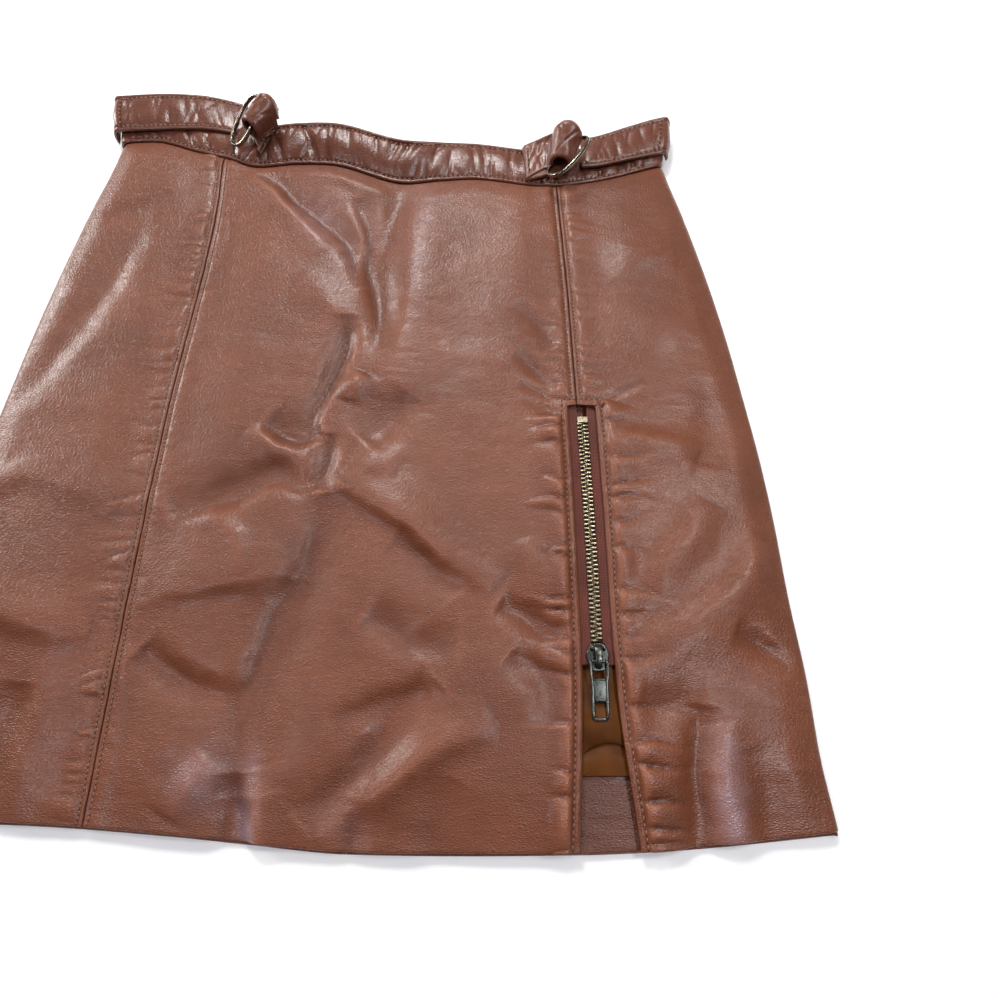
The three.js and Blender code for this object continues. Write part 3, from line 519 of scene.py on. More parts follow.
def stretched(nodes, links, scale):
    """Object coordinates in metres, scaled differently along each axis."""
    coords = nodes.new("ShaderNodeTexCoord")
    mapping = add_node(nodes, "ShaderNodeMapping")
    mapping.inputs["Scale"].default_value = scale
    links.new(coords.outputs["Object"], mapping.inputs["Vector"])
    return mapping.outputs["Vector"]


def ramp(nodes, links, value, stops):
    node = nodes.new("ShaderNodeValToRGB")
    while len(node.color_ramp.elements) < len(stops):
        node.color_ramp.elements.new(0.5)
    for element, (at, colour) in zip(node.color_ramp.elements, stops):
        element.position = at
        element.color = (*colour, 1)
    links.new(value, node.inputs["Fac"])
    return node.outputs["Color"]


def mixed(nodes, links, kind, factor, a, b):
    node = nodes.new("ShaderNodeMix")
    node.data_type = "RGBA"
    node.blend_type = kind
    for socket, value in ((node.inputs[0], factor), (node.inputs[6], a), (node.inputs[7], b)):
        if isinstance(value, (tuple, float, int)):
            socket.default_value = value if not isinstance(value, tuple) else (*value, 1)
        else:
            links.new(value, socket)
    return node.outputs[2]


def maths(nodes, links, operation, a, b, clamp=False):
    node = nodes.new("ShaderNodeMath")
    node.operation = operation
    node.use_clamp = clamp
    for socket, value in zip(node.inputs, (a, b)):
        if isinstance(value, (float, int)):
            socket.default_value = value
        else:
            links.new(value, socket)
    return node.outputs[0]


def bumped(nodes, links, height, distance, strength, below=None):
    node = nodes.new("ShaderNodeBump")
    node.inputs["Strength"].default_value = strength
    node.inputs["Distance"].default_value = distance
    links.new(height, node.inputs["Height"])
    if below is not None:
        links.new(below, node.inputs["Normal"])
    return node.outputs["Normal"]


def leather(name, deep, light, grain=1.0, gloss=0.0):
    """Smooth-grained leather: colour clouds, ridges lighter for wear and as a painted highlight, painted shade
    darkening the creases, a painted pale sheen on the shiny places, cross grain and pores.
    """
    material, nodes, links, shader = new_material(name)
    clouds = add_node(nodes, "ShaderNodeTexNoise", in_Scale=1.0, in_Detail=4.0, in_Roughness=0.6)
    links.new(stretched(nodes, links, (19, 26, 26)), clouds.inputs["Vector"])
    colour = ramp(nodes, links, clouds.outputs["Fac"], [(0.32, deep), (0.68, light)])
    streaks = add_node(nodes, "ShaderNodeTexNoise", in_Scale=1.0, in_Detail=3.0, in_Roughness=0.65)
    links.new(stretched(nodes, links, (110, 420, 420)), streaks.inputs["Vector"])
    tint = ramp(nodes, links, streaks.outputs["Fac"], [(0.3, (0.94, 0.93, 0.93)), (0.7, (1.05, 1.05, 1.05))])
    colour = mixed(nodes, links, "MULTIPLY", 1.0, colour, tint)
    bend = add_node(nodes, "ShaderNodeAttribute", attribute_name="bend")
    # Ridges made lighter from the bend attribute: partly wear, partly a painted highlight on the relief.
    worn_and_lit = maths(nodes, links, "MULTIPLY", bend.outputs["Fac"], 0.7, clamp=True)
    colour = mixed(nodes, links, "MIX", worn_and_lit, colour, tuple(min(1.0, c * 1.28 + 0.012) for c in light))
    # Painted shade: troughs darkened from the bend attribute, where the creases fall in shade.
    painted_crease_shade = maths(nodes, links, "MULTIPLY", bend.outputs["Fac"], -0.6, clamp=True)
    colour = mixed(nodes, links, "MIX", painted_crease_shade, colour, (deep[0] * 0.55, deep[1] * 0.38, deep[2] * 0.3))
    polish_and_sheen = add_node(nodes, "ShaderNodeAttribute", attribute_name="polish_and_sheen").outputs["Fac"]
    # Painted sheen: the shiny places are mixed towards a pale lavender, a painted reflection of the lights. The same
    # amount lowers the roughness below.
    painted_sheen = maths(nodes, links, "MULTIPLY", polish_and_sheen, 0.3, clamp=True)
    links.new(mixed(nodes, links, "MIX", painted_sheen, colour, (0.5, 0.4, 0.47)), shader.inputs["Base Color"])
    shader.inputs["Specular IOR Level"].default_value = 0.36
    shader.inputs["Coat Weight"].default_value = 0.23
    shader.inputs["Coat Roughness"].default_value = 0.26
    shader.inputs["Sheen Weight"].default_value = 0.05
    shader.inputs["Sheen Roughness"].default_value = 0.45
    shader.inputs["Sheen Tint"].default_value = (1.0, 0.82, 0.76, 1)
    pebbles = add_node(nodes, "ShaderNodeTexVoronoi", feature="DISTANCE_TO_EDGE", in_Scale=1.0)
    links.new(stretched(nodes, links, (560, 1050, 1050)), pebbles.inputs["Vector"])
    lines = add_node(nodes, "ShaderNodeTexNoise", in_Scale=1.0, in_Detail=5.0, in_Roughness=0.7)
    links.new(stretched(nodes, links, (150, 760, 760)), lines.inputs["Vector"])
    pores = add_node(nodes, "ShaderNodeTexNoise", in_Scale=2600.0, in_Detail=2.0)
    links.new(stretched(nodes, links, (1, 1, 1)), pores.inputs["Vector"])
    rough = maths(nodes, links, "MULTIPLY_ADD", lines.outputs["Fac"], 0.2)
    rough.node.inputs[2].default_value = 0.25 - gloss
    shine = maths(nodes, links, "MULTIPLY_ADD", polish_and_sheen, -0.19)
    links.new(rough, shine.node.inputs[2])
    links.new(shine, shader.inputs["Roughness"])
    normal = bumped(nodes, links, lines.outputs["Fac"], 0.0005, 0.45 * grain)
    normal = bumped(nodes, links, pebbles.outputs["Distance"], 0.0005, 0.8 * grain, normal)
    normal = bumped(nodes, links, pores.outputs["Fac"], 0.00012, 0.4 * grain, normal)
    links.new(normal, shader.inputs["Normal"])
    links.new(bumped(nodes, links, pebbles.outputs["Distance"], 0.00015, 0.6), shader.inputs["Coat Normal"])
    return material


def metal(name, base, roughness, patina=0.35, grime=(0.02, 0.018, 0.014)):
    """Polished dark metal with patchy polish and dull places."""
    material, nodes, links, shader = new_material(name)
    patches = add_node(nodes, "ShaderNodeTexNoise", in_Scale=900.0, in_Detail=4.0)
    links.new(stretched(nodes, links, (1, 1, 1)), patches.inputs["Vector"])
    colour = ramp(nodes, links, patches.outputs["Fac"], [(patina, grime), (0.62, base)])
    links.new(colour, shader.inputs["Base Color"])
    shader.inputs["Metallic"].default_value = 1.0
    rough = maths(nodes, links, "MULTIPLY_ADD", patches.outputs["Fac"], 0.25)
    rough.node.inputs[2].default_value = roughness - 0.1
    links.new(rough, shader.inputs["Roughness"])
    scratches = add_node(nodes, "ShaderNodeTexNoise", in_Scale=1.0, in_Detail=3.0)
    links.new(stretched(nodes, links, (5200, 700, 700)), scratches.inputs["Vector"])
    links.new(bumped(nodes, links, scratches.outputs["Fac"], 0.00005, 0.4), shader.inputs["Normal"])
    return material


def thread(name, colour):
    material, nodes, links, shader = new_material(name)
    twist = add_node(nodes, "ShaderNodeTexWave", in_Scale=1.0, in_Distortion=1.5)
    links.new(stretched(nodes, links, (1500, 1500, 1500)), twist.inputs["Vector"])
    tint = ramp(nodes, links, twist.outputs["Fac"], [(0.2, tuple(c * 0.6 for c in colour)), (0.8, colour)])
    links.new(tint, shader.inputs["Base Color"])
    shader.inputs["Roughness"].default_value = 0.65
    return material


def woven(name, deep, light):
    """Zip tape: fine cross ribs."""
    material, nodes, links, shader = new_material(name)
    ribs = add_node(nodes, "ShaderNodeTexWave", bands_direction="Y", in_Scale=1.0, in_Distortion=0.6, in_Detail=1.0)
    links.new(stretched(nodes, links, (300, 420, 300)), ribs.inputs["Vector"])
    warp = add_node(nodes, "ShaderNodeTexWave", bands_direction="X", in_Scale=1.0, in_Distortion=0.4)
    links.new(stretched(nodes, links, (420, 300, 300)), warp.inputs["Vector"])
    cloth = maths(nodes, links, "MULTIPLY", ribs.outputs["Fac"], warp.outputs["Fac"])
    colour = ramp(nodes, links, cloth, [(0.0, deep), (0.7, light)])
    dirt = add_node(nodes, "ShaderNodeTexNoise", in_Scale=70.0, in_Detail=4.0)
    links.new(stretched(nodes, links, (1, 1, 1)), dirt.inputs["Vector"])
    shade = ramp(nodes, links, dirt.outputs["Fac"], [(0.3, (0.7, 0.68, 0.68)), (0.7, (1.1, 1.1, 1.1))])
    links.new(mixed(nodes, links, "MULTIPLY", 1.0, colour, shade), shader.inputs["Base Color"])
    shader.inputs["Roughness"].default_value = 0.85
    shader.inputs["Sheen Weight"].default_value = 0.2
    links.new(bumped(nodes, links, cloth, 0.0002, 0.8), shader.inputs["Normal"])
    return material


def satin(name, deep, light):
    material, nodes, links, shader = new_material(name)
    clouds = add_node(nodes, "ShaderNodeTexNoise", in_Scale=60.0, in_Detail=3.0)
    links.new(stretched(nodes, links, (1, 1, 1)), clouds.inputs["Vector"])
    links.new(ramp(nodes, links, clouds.outputs["Fac"], [(0.3, deep), (0.7, light)]), shader.inputs["Base Color"])
    shader.inputs["Roughness"].default_value = 0.4
    shader.inputs["Specular IOR Level"].default_value = 0.12
    shader.inputs["Anisotropic"].default_value = 0.5
    weave = add_node(nodes, "ShaderNodeTexWave", bands_direction="Y", in_Scale=1.0, in_Distortion=0.8, in_Detail=2.0)
    links.new(stretched(nodes, links, (500, 1300, 900)), weave.inputs["Vector"])
    links.new(bumped(nodes, links, weave.outputs["Fac"], 0.00006, 0.35), shader.inputs["Normal"])
    return material


def plain(name, colour, roughness):
    material, nodes, links, shader = new_material(name)
    noise = add_node(nodes, "ShaderNodeTexNoise", in_Scale=40.0, in_Detail=3.0)
    links.new(stretched(nodes, links, (1, 1, 1)), noise.inputs["Vector"])
    tint = ramp(nodes, links, noise.outputs["Fac"], [(0.3, tuple(c * 0.96 for c in colour)), (0.7, colour)])
    links.new(tint, shader.inputs["Base Color"])
    shader.inputs["Roughness"].default_value = roughness
    return material


PANEL = leather("leather panels", (0.124, 0.0335, 0.0115), (0.167, 0.0475, 0.0180))
BAND = leather("leather band", (0.095, 0.0285, 0.0145), (0.132, 0.0420, 0.0235), grain=0.4, gloss=0.09)
TAB_LEATHER = leather("leather tabs", (0.108, 0.0325, 0.0165), (0.152, 0.0485, 0.0265), grain=0.4, gloss=0.06)
FACING = leather("leather facing", (0.092, 0.0265, 0.0125), (0.125, 0.0385, 0.0195), grain=1.3)
THREAD = thread("thread", (0.31, 0.145, 0.088))
# Near-black discs at the needle holes: painted shade.
HOLE_SHADE = plain("needle hole shade", (0.022, 0.008, 0.005), 0.9)
TAPE = woven("zip tape", (0.075, 0.014, 0.008), (0.22, 0.05, 0.027))
SATIN = satin("satin", (0.058, 0.016, 0.0015), (0.13, 0.04, 0.004))
BRASS = metal("antique brass", (0.62, 0.54, 0.38), 0.26, patina=0.3, grime=(0.3, 0.25, 0.16))
GUNMETAL = metal("dark metal", (0.1, 0.11, 0.098), 0.28, patina=0.3, grime=(0.055, 0.06, 0.052))
RING_METAL = metal("ring metal", (0.34, 0.31, 0.25), 0.15, patina=0.35, grime=(0.15, 0.135, 0.105))
# Near-black: painted shade under the zip teeth.
SHADOW_CLOTH = plain("painted_shade_cord", (0.03, 0.01, 0.008), 0.9)

# ---- Front panels ----

SEAM_X = 104.0
HEM_ROW, WAIST_ROW = float(hem_line(SEAM_X)), float(waist_line(SEAM_X))
CORNER_ROWS = [-5, -4, -3, -2.2, -1.5, -1.0, -0.8, -0.6, -0.4, -0.2, 0, 0.3, 0.8, 1.5, 2.3, 2.7, 3.0, 3.3, 3.7, 4.4, 5.2]
# Rows of the front's points, as heights beside the zip
ROWS = np.array(
    [HEM_ROW + d for d in (0, 0.12, 0.35, 0.7, 1.2, 1.9)]
    + list(np.linspace(HEM_ROW + 2.8, ZIP_TOP - 6, 186))
    + [ZIP_TOP + d for d in CORNER_ROWS]
    + list(np.linspace(ZIP_TOP + 6, WAIST_ROW - 5.5, 122))
    + [WAIST_ROW - d for d in (4.2, 3, 2, 1.2, 0.7, 0.35, 0.12, 0)]
)[:, None]


def front_panel(columns_at, opened=None, closed=None):
    """Places of a panel's points. Below the zip's top the edge at closed moves to opened."""
    y = ROWS
    for _ in range(6):
        x = columns_at(y)
        bottom, top = hem_line(x), waist_line(x) - 0.3
        below = bottom + (ZIP_TOP - bottom) * (ROWS - HEM_ROW) / (ZIP_TOP - HEM_ROW)
        above = ZIP_TOP + (top - ZIP_TOP) * (ROWS - ZIP_TOP) / (WAIST_ROW - ZIP_TOP)
        y = np.where(ROWS < ZIP_TOP, below, above)
    x = columns_at(y)
    if opened:
        x = x + (opened(y) - closed(y)) * (1 - smooth(np.abs(x - closed(y)), NEAR_EDGE[-1], 52))
    return x, y


def strip(left, right, count, near_left, near_right):
    """Columns between two edges that are functions of y, for rows of points that each have their own y."""
    total = len(near_left) + len(near_right) + count - 2

    def across(y):
        y = np.broadcast_to(y, (y.shape[0], total))
        lo, hi = left(y), right(y)
        x = np.empty(y.shape)
        k = len(near_left)
        x[:, :k] = lo[:, :k] + near_left
        m = len(near_right)
        x[:, -m:] = hi[:, -m:] - near_right[::-1]
        t = np.linspace(0, 1, count)[1:-1]
        start = lo[:, k:-m] + near_left[-1]
        end = hi[:, k:-m] - near_right[-1]
        x[:, k:-m] = start + (end - start) * t
        return x

    return across


ROLL_TURNS = FRONT_ROLL * (1 - np.sin(np.radians([90, 84, 76, 67, 57, 46, 34, 22, 11, 0])))


def front_edge_distance(x, y, left, right):
    rows = np.minimum(y - y[:1], y[-1:] - y)
    sides = [np.full(x.shape, 1e9)]
    if left is not None:
        sides.append(x - left(y))
    if right is not None:
        sides.append(right(y) - x)
    edge = np.minimum(rows, np.minimum.reduce(sides))
    return np.maximum(edge, 0)


def build_front(name, left, right, count, near_left, near_right, seam_left, seam_right, opened=None, closed=None):
    x, y = front_panel(strip(left, right, count, near_left, near_right), opened, closed)
    top = np.stack([x, y, front_height(x, y)], axis=-1)
    edge = front_edge_distance(x, y, seam_left, seam_right)
    if seam_left is None:
        fall = np.linalg.norm(np.diff(top, axis=1), axis=2)
        edge = np.minimum(edge, np.concatenate([np.zeros((len(x), 1)), np.cumsum(fall, axis=1)], axis=1))
    if seam_right is None:
        fall = np.linalg.norm(np.diff(top, axis=1), axis=2)[:, ::-1]
        edge = np.minimum(edge, np.concatenate([np.zeros((len(x), 1)), np.cumsum(fall, axis=1)], axis=1)[:, ::-1])
    return shell(name + "_leather", top, edge, LEATHER, PANEL, [name], polish_and_sheen=polish_and_sheen_at(x, y))


front_center = build_front(
    "front_center", lambda y: left_seam(y) + PANEL_GAP / 2, lambda y: curve(RIGHT_SEAM, y) - PANEL_GAP / 2,
    114, NEAR_EDGE, NEAR_EDGE, lambda y: left_seam(y) + PANEL_GAP / 2, left_of_right_seam,
    left_of_right_seam, lambda y: curve(RIGHT_SEAM, y) - PANEL_GAP / 2,
)
front_right = build_front(
    "front_right", lambda y: curve(RIGHT_SEAM, y) + PANEL_GAP / 2, side_half, 60, NEAR_EDGE, ROLL_TURNS,
    right_of_right_seam, None, right_of_right_seam, lambda y: curve(RIGHT_SEAM, y) + PANEL_GAP / 2,
)
front_left = build_front(
    "front_left", lambda y: -side_half(y), lambda y: left_seam(y) - PANEL_GAP / 2, 62, ROLL_TURNS, NEAR_EDGE,
    None, lambda y: left_seam(y) - PANEL_GAP / 2,
)

# ---- Back panels ----

BACK_EDGE = FOLD_RADIUS - 0.05
BACK_STITCH = 2.3


def build_back(name, sign):
    turn = np.radians(np.linspace(0, 90, 9))
    near = np.array([0, 0.12, 0.35, 0.7, 1.2, 2.0, 2.6, 3.4, 5])
    flat = np.linspace(0, 1, 70)[1:]
    rows = np.concatenate([[0, 0.0004, 0.001, 0.002, 0.0035], np.linspace(0.007, 0.993, 130), [0.9965, 0.998, 0.999, 0.9996, 1]])
    v = rows[:, None]
    x = np.zeros((len(rows), len(near) + len(flat) + len(turn) - 1))
    y = np.broadcast_to(v * 350.0, x.shape)
    for _ in range(4):
        top = side_half(y) - BACK_EDGE
        x = np.empty(x.shape)
        x[:, :len(near)] = PANEL_GAP / 2 + near
        k = len(near) + len(flat)
        x[:, len(near):k] = near[-1] + (top[:, len(near):k] - near[-1]) * flat
        x[:, k:] = top[:, k:] + BACK_EDGE * np.sin(turn[1:])
        bottom = hem_line(sign * x) - BACK_HEM_DROP
        y = bottom + (curve(BACK_WAIST, sign * x) - 0.3 - bottom) * v
    z = np.zeros(x.shape)
    z[:, k:] = BACK_EDGE * (1 - np.cos(turn[1:]))
    inside = smooth(y - y[:1], 0, 6) * smooth(y[-1:] - y, 0, 6) * smooth(side_half(y) - x, 6, 20)
    z += inside * 0.12 * (1 + wobble(sign * x, y, 30, 24, 20)) * smooth(x, 3, 12)
    z += 0.28 * np.exp(-((x - BACK_STITCH) / 0.8) ** 2) * inside
    pts = np.stack([sign * x, y, z], axis=-1)
    edge = np.minimum(np.minimum(y - y[:1], y[-1:] - y), x - PANEL_GAP / 2)
    past = np.linalg.norm(np.diff(pts, axis=1), axis=2)[:, ::-1]
    edge = np.minimum(edge, np.concatenate([np.zeros((len(rows), 1)), np.cumsum(past, axis=1)], axis=1)[:, ::-1])
    if sign > 0:
        pts, edge = pts[:, ::-1], edge[:, ::-1]
    obj = shell(name, pts, np.maximum(edge, 0), LEATHER, PANEL, [name])
    obj.name = name + "_leather"
    return obj


back_right = build_back("back_right", 1)
back_left = build_back("back_left", -1)

# ---- Waistband and belts ----

def strap_point(table, x, up, crown, width, lift):
    """Points of a strap's outer face at a place along X and a distance up from its lower edge."""
    lean = np.radians(curve(table, x, 3))
    out = crown * np.sin(np.pi * np.clip(up, 0, width) / width)
    y = curve(table, x, 1) + up * np.cos(lean) - out * np.sin(lean)
    z = curve(table, x, 2) + up * np.sin(lean) + out * np.cos(lean)
    edge = FOLD_RADIUS + 0.6
    end = BAND_HALF + BAND_FLARE * up + lift
    return np.stack([x + 0 * up, y, edge + (z - edge) * roll_up(end - np.abs(x), BAND_ROLL)], axis=-1)


def across_rounds(size, near=(0, 0.15, 0.45, 0.9, 1.4, 1.9, 2.3, 2.6, 2.9, 3.3, 3.9), count=20):
    near = np.array(near)
    middle = np.linspace(near[-1], size - near[-1], count)[1:-1]
    return np.concatenate([near, middle, (size - near)[::-1]])


def band_puckers(x, up, width, seed, strength, inset=2.6):
    """Wrinkles that run across a stitched strap from each row, and its puffed middle."""
    z = 0.7 * np.sin(np.pi * np.clip((up - inset) / (width - 2 * inset), 0, 1)) ** 0.6
    z -= 0.4 * np.exp(-((up - inset) / 0.6) ** 2) + 0.4 * np.exp(-((up - width + inset) / 0.6) ** 2)
    rng = np.random.RandomState(seed)
    low, high = float(np.min(x)), float(np.max(x))
    for start, side in ((inset, 1), (width - inset, -1)):
        at = low
        while at < high:
            strong = rng.uniform() ** 1.3
            reach = 2.5 + 10 * strong
            slant, depth, size = rng.normal(0, 0.35), 0.25 + 0.75 * strong, rng.uniform(0.6, 1.3)
            near = np.abs(x - at) < 14
            a = (up[near] - start) * side
            d = x[near] - at - slant * a
            fade = np.where(a > 0, np.exp(-(np.maximum(a, 0) / reach) ** 2), np.exp(-(a / 0.9) ** 2))
            z[near] -= strength * depth * fade * (0.55 * np.exp(-(d / size) ** 2) + 0.45 * np.exp(-(d / (3 * size)) ** 2))
            at += rng.uniform(1.8, 5.8)
    return z


def build_band():
    up = across_rounds(BAND_WIDTH)
    turn = np.radians(np.linspace(0, 90, 9))[1:]
    flat = np.linspace(-1, 1, 300)
    up = up[:, None]
    half = BAND_HALF + BAND_FLARE * up
    x = np.concatenate([
        -(half - BAND_ROLL + BAND_ROLL * np.sin(turn[::-1])), (half - BAND_ROLL) * flat, half - BAND_ROLL + BAND_ROLL * np.sin(turn),
    ], axis=1)
    up = np.broadcast_to(up, x.shape)
    top = strap_point(WAIST, x, up, BAND_CROWN, BAND_WIDTH, 0)
    normals = unit_normals(top)
    fade = smooth(BAND_HALF + BAND_FLARE * up - np.abs(x), 2, 12)
    bulge = band_puckers(x, up, BAND_WIDTH, 31, 1.5) * fade
    bulge = bulge + 0.3 * wobble(x, up, 11, 9, 32) * fade * np.sin(np.pi * up / BAND_WIDTH)
    top = top + normals * bulge[..., None]
    edge = np.minimum(up, BAND_WIDTH - up)
    past = np.minimum(np.arange(x.shape[1]), np.arange(x.shape[1])[::-1]) * 0.9
    edge = np.minimum(edge, past[None, :])
    obj = shell("waistband_front_leather", top, edge, 2.2, BAND, ["waistband_front"], radius=1.5)
    return obj, top


waistband_front, band_top = build_band()


def belt_points(side, ring_end, sign, up, u):
    half = BAND_HALF + BAND_FLARE * (up + 9) + 2.8
    fold_top = half - BAND_ROLL
    x = np.where(u <= 1, ring_end + (fold_top - ring_end) * u, fold_top + BAND_ROLL * np.sin(np.clip(u - 1, 0, 1) * np.pi / 2))
    return strap_point(BELTS[side], sign * x, up, 0, BELT_WIDTH, 2.8 + BAND_FLARE * 9)


def build_belt(side, ring_end, sign):
    near = np.array([0, 0.004, 0.012, 0.022])
    u = np.concatenate([near, np.linspace(0.035, 1, 64), 1 + np.linspace(0, 1, 9)[1:]])
    up = across_rounds(BELT_WIDTH)[:, None]
    if sign < 0:
        u = u[::-1]
    up, u = np.broadcast_arrays(up, u[None, :])
    top = belt_points(side, ring_end, sign, up, u)
    normals = unit_normals(top)
    fade = smooth(2 - u, 0, 0.3)
    bulge = band_puckers(top[..., 0], up, BELT_WIDTH, 41 if sign < 0 else 42, 0.75) * fade
    bulge = bulge + 0.35 * wobble(top[..., 0], up, 13, 10, 43) * fade * np.sin(np.pi * up / BELT_WIDTH)
    top = top + normals * bulge[..., None]
    past = np.minimum(np.arange(u.shape[1]), np.arange(u.shape[1])[::-1]) * 0.5
    edge = np.minimum(np.minimum(up, BELT_WIDTH - up), past[None, :])
    name = "side_belt_" + side
    return shell(name + "_leather", top, edge, 2.2, BAND, [name], radius=1.3), top


belt_right, belt_right_top = build_belt("right", 111.5, 1)
belt_left, belt_left_top = build_belt("left", 86.0, -1)


def build_back_band():
    up = across_rounds(BAND_WIDTH, count=10)[:, None]
    turn = np.radians(np.linspace(0, 90, 9))[1:]
    flat = np.linspace(-1, 1, 150)
    half = BAND_HALF + BAND_FLARE * up
    x = np.concatenate([
        -(half - BACK_EDGE + BACK_EDGE * np.sin(turn[::-1])), (half - BACK_EDGE) * flat,
        half - BACK_EDGE + BACK_EDGE * np.sin(turn),
    ], axis=1)
    up = np.broadcast_to(up, x.shape)
    past = np.clip((np.abs(x) - (half - BACK_EDGE)) / BACK_EDGE, 0, 1)
    z = BACK_EDGE * (1 - np.sqrt(1 - past ** 2))
    fade = smooth(half - np.abs(x), 4, 16)
    groove = 0.3 * (np.exp(-((up - 2.6) / 0.7) ** 2) + np.exp(-((up - BAND_WIDTH + 2.6) / 0.7) ** 2))
    z = z + groove * fade
    top = np.stack([x, curve(BACK_WAIST, x) + up, z], axis=-1)[:, ::-1]
    sides = np.minimum(np.arange(x.shape[1]), np.arange(x.shape[1])[::-1]) * 0.6
    edge = np.minimum(np.minimum(up, BAND_WIDTH - up), sides[None, :])
    return shell("waistband_back_leather", top, edge, 1.8, BAND, ["waistband_back"], radius=1.2)


waistband_back = build_back_band()

# ---- Ring tabs and rings ----

# Each: root ends, the roll's middle line, its radius at the near and far end, the ring's centre, its long way
# and its way out of the roll
BUCKLES = {
    "left": (((-73.5, 360), (-65, 378)), ((-77.8, 369.2, 20.8), (-65.8, 385.2, 25.2)), (6.9, 7.3),
             (-81.4, 377.0, 19.8), (0.441, 0.827, 0.349), (-0.75, 0.553, -0.364)),
    "right": (((79.5, 343.5), (77.5, 367)), ((98.6, 347.6, 16.2), (103.4, 367.0, 22.8)), (6.8, 9.2),
              (102.8, 350.6, 19.8), (0.6, 0.77, 0.12), (0.587, -0.56, 0.512)),
}
TAB_WALL = 2.2
ROOT_RISE = 3.1
ROLL_END = math.radians(188)
FILLET = 2.4


def tab_points(side, u, v):
    """The strap's outer face: out under the roll, round it, down behind it and back to the root."""
    root, roll, radii = BUCKLES[side][:3]
    w = 1 - v if side == "right" else v
    start = np.array(root[0]) + (np.array(root[1]) - np.array(root[0])) * w[..., None]
    up = start[..., 1] - waist_line(start[..., 0])
    on_band = strap_point(WAIST, start[..., 0], up, BAND_CROWN, BAND_WIDTH, 0)
    centre = np.array(roll[0]) + (np.array(roll[1]) - np.array(roll[0])) * w[..., None]
    radius = radii[0] + (radii[1] - radii[0]) * w - 2.4 * smooth(w, 0.74, 1) ** 2 - 0.5 * (1 - smooth(w, 0, 0.1))
    radius = radius[..., None]
    axis = np.array(roll[1]) - np.array(roll[0])
    out = np.array([axis[1], -axis[0], 0]) / math.hypot(axis[0], axis[1])
    out = out if side == "right" else -out
    lift = np.array([0, 0, 1.0])
    lower = on_band + lift * 0.45
    upper = lower + lift * ROOT_RISE
    turn = (np.clip(u, 0, 1) * (ROLL_END + np.pi / 2) - np.pi / 2)[..., None]
    around = centre + out * (radius * np.cos(turn)) + lift * (radius * np.sin(turn))
    below = lower + (centre - lift * radius - lower) * (np.clip(u, -1, 0) + 1)[..., None]
    leave = centre + out * (radius * math.cos(ROLL_END)) + lift * (radius * math.sin(ROLL_END))
    away = ((centre - on_band) * out).sum(axis=-1, keepdims=True)
    foot = centre - out * np.minimum(radius + FILLET, away - 0.3) - lift * (radius - ROOT_RISE)
    foot[..., 2] = np.minimum(foot[..., 2], leave[..., 2] - 1.0)
    t = np.clip((u - 1) / 0.35, 0, 1)[..., None]
    pull = leave - lift * (leave - foot)[..., 2:] * 1.1
    bent = leave * (1 - t) ** 2 + 2 * pull * t * (1 - t) + foot * t ** 2
    flat = foot + (upper - foot) * np.clip((u - 1.35) / 0.65, 0, 1)[..., None]
    u = u[..., None]
    return np.where(u < 0, below, np.where(u <= 1, around, np.where(u <= 1.35, bent, flat)))


# Creases across each roll and the flat strap: place along and across the strap, slant, length, width, depth
TAB_CREASES = {
    "right": [
        (0.6, 0.5, -0.42, 0.26, 0.024, 1.2), (0.5, 0.16, 0.2, 0.2, 0.03, 0.4), (0.78, 0.8, 0.3, 0.2, 0.03, 0.4),
        (1.5, 0.3, 0.35, 0.22, 0.07, 0.65), (1.62, 0.72, -0.3, 0.22, 0.08, 0.7), (1.8, 0.42, -0.4, 0.2, 0.06, 0.4),
        (1.85, 0.82, 0.3, 0.2, 0.06, 0.4), (1.42, 0.62, -0.2, 0.14, 0.05, 0.5),
    ],
    "left": [
        (0.55, 0.45, 0.3, 0.22, 0.03, 0.5), (0.62, 0.7, 0.25, 0.2, 0.03, 0.6), (0.42, 0.25, -0.2, 0.2, 0.03, 0.35),
        (0.8, 0.35, 0.3, 0.3, 0.03, 0.4), (1.6, 0.3, 0.3, 0.3, 0.06, 0.6), (1.75, 0.6, -0.3, 0.3, 0.06, 0.6),
    ],
}


def build_tab(side):
    u = np.concatenate([
        [-1, -0.985, -0.96], np.linspace(-0.93, -0.02, 20), np.linspace(0, 1, 72), np.linspace(1.015, 1.35, 22),
        np.linspace(1.37, 1.95, 26), [1.97, 1.99, 2],
    ])
    v = np.concatenate([[0, 0.008, 0.022, 0.045], np.linspace(0.075, 0.925, 44), [0.955, 0.978, 0.992, 1]])
    v, u = np.broadcast_arrays(v[:, None], u[None, :])
    top = tab_points(side, u, v)
    for _ in range(4):
        top[:, 1:-1] = (top[:, :-2] + 2 * top[:, 1:-1] + top[:, 2:]) / 4
    normals = unit_normals(top)
    seed = 51 if side == "left" else 52
    w = 1 - v if side == "right" else v
    bulge = 0.4 * wobble(u * 14, v * 22, 5, 7, seed) * np.sin(np.pi * v)
    bulge = bulge + 0.18 * wobble(u * 30, v * 22, 4, 5, seed + 5)
    for at_u, at_w, slant, reach, size, depth in TAB_CREASES[side]:
        d = (u - at_u) - slant * (w - at_w)
        along = np.exp(-((w - at_w) / reach) ** 2)
        bulge = bulge - depth * along * np.exp(-(d / size) ** 2) + 0.45 * depth * along * np.exp(-(d / (2.6 * size)) ** 2)
    bulge = bulge * smooth(np.minimum(v, 1 - v), 0, 0.16)
    top = top + normals * bulge[..., None]
    edge = np.minimum(np.minimum(v, 1 - v) * 22.0, np.minimum(u + 1, 2 - u) * 18)
    name = "ring_tab_" + side
    return shell(name + "_leather", top, edge, TAB_WALL, TAB_LEATHER, [name], radius=0.9), top, v, u


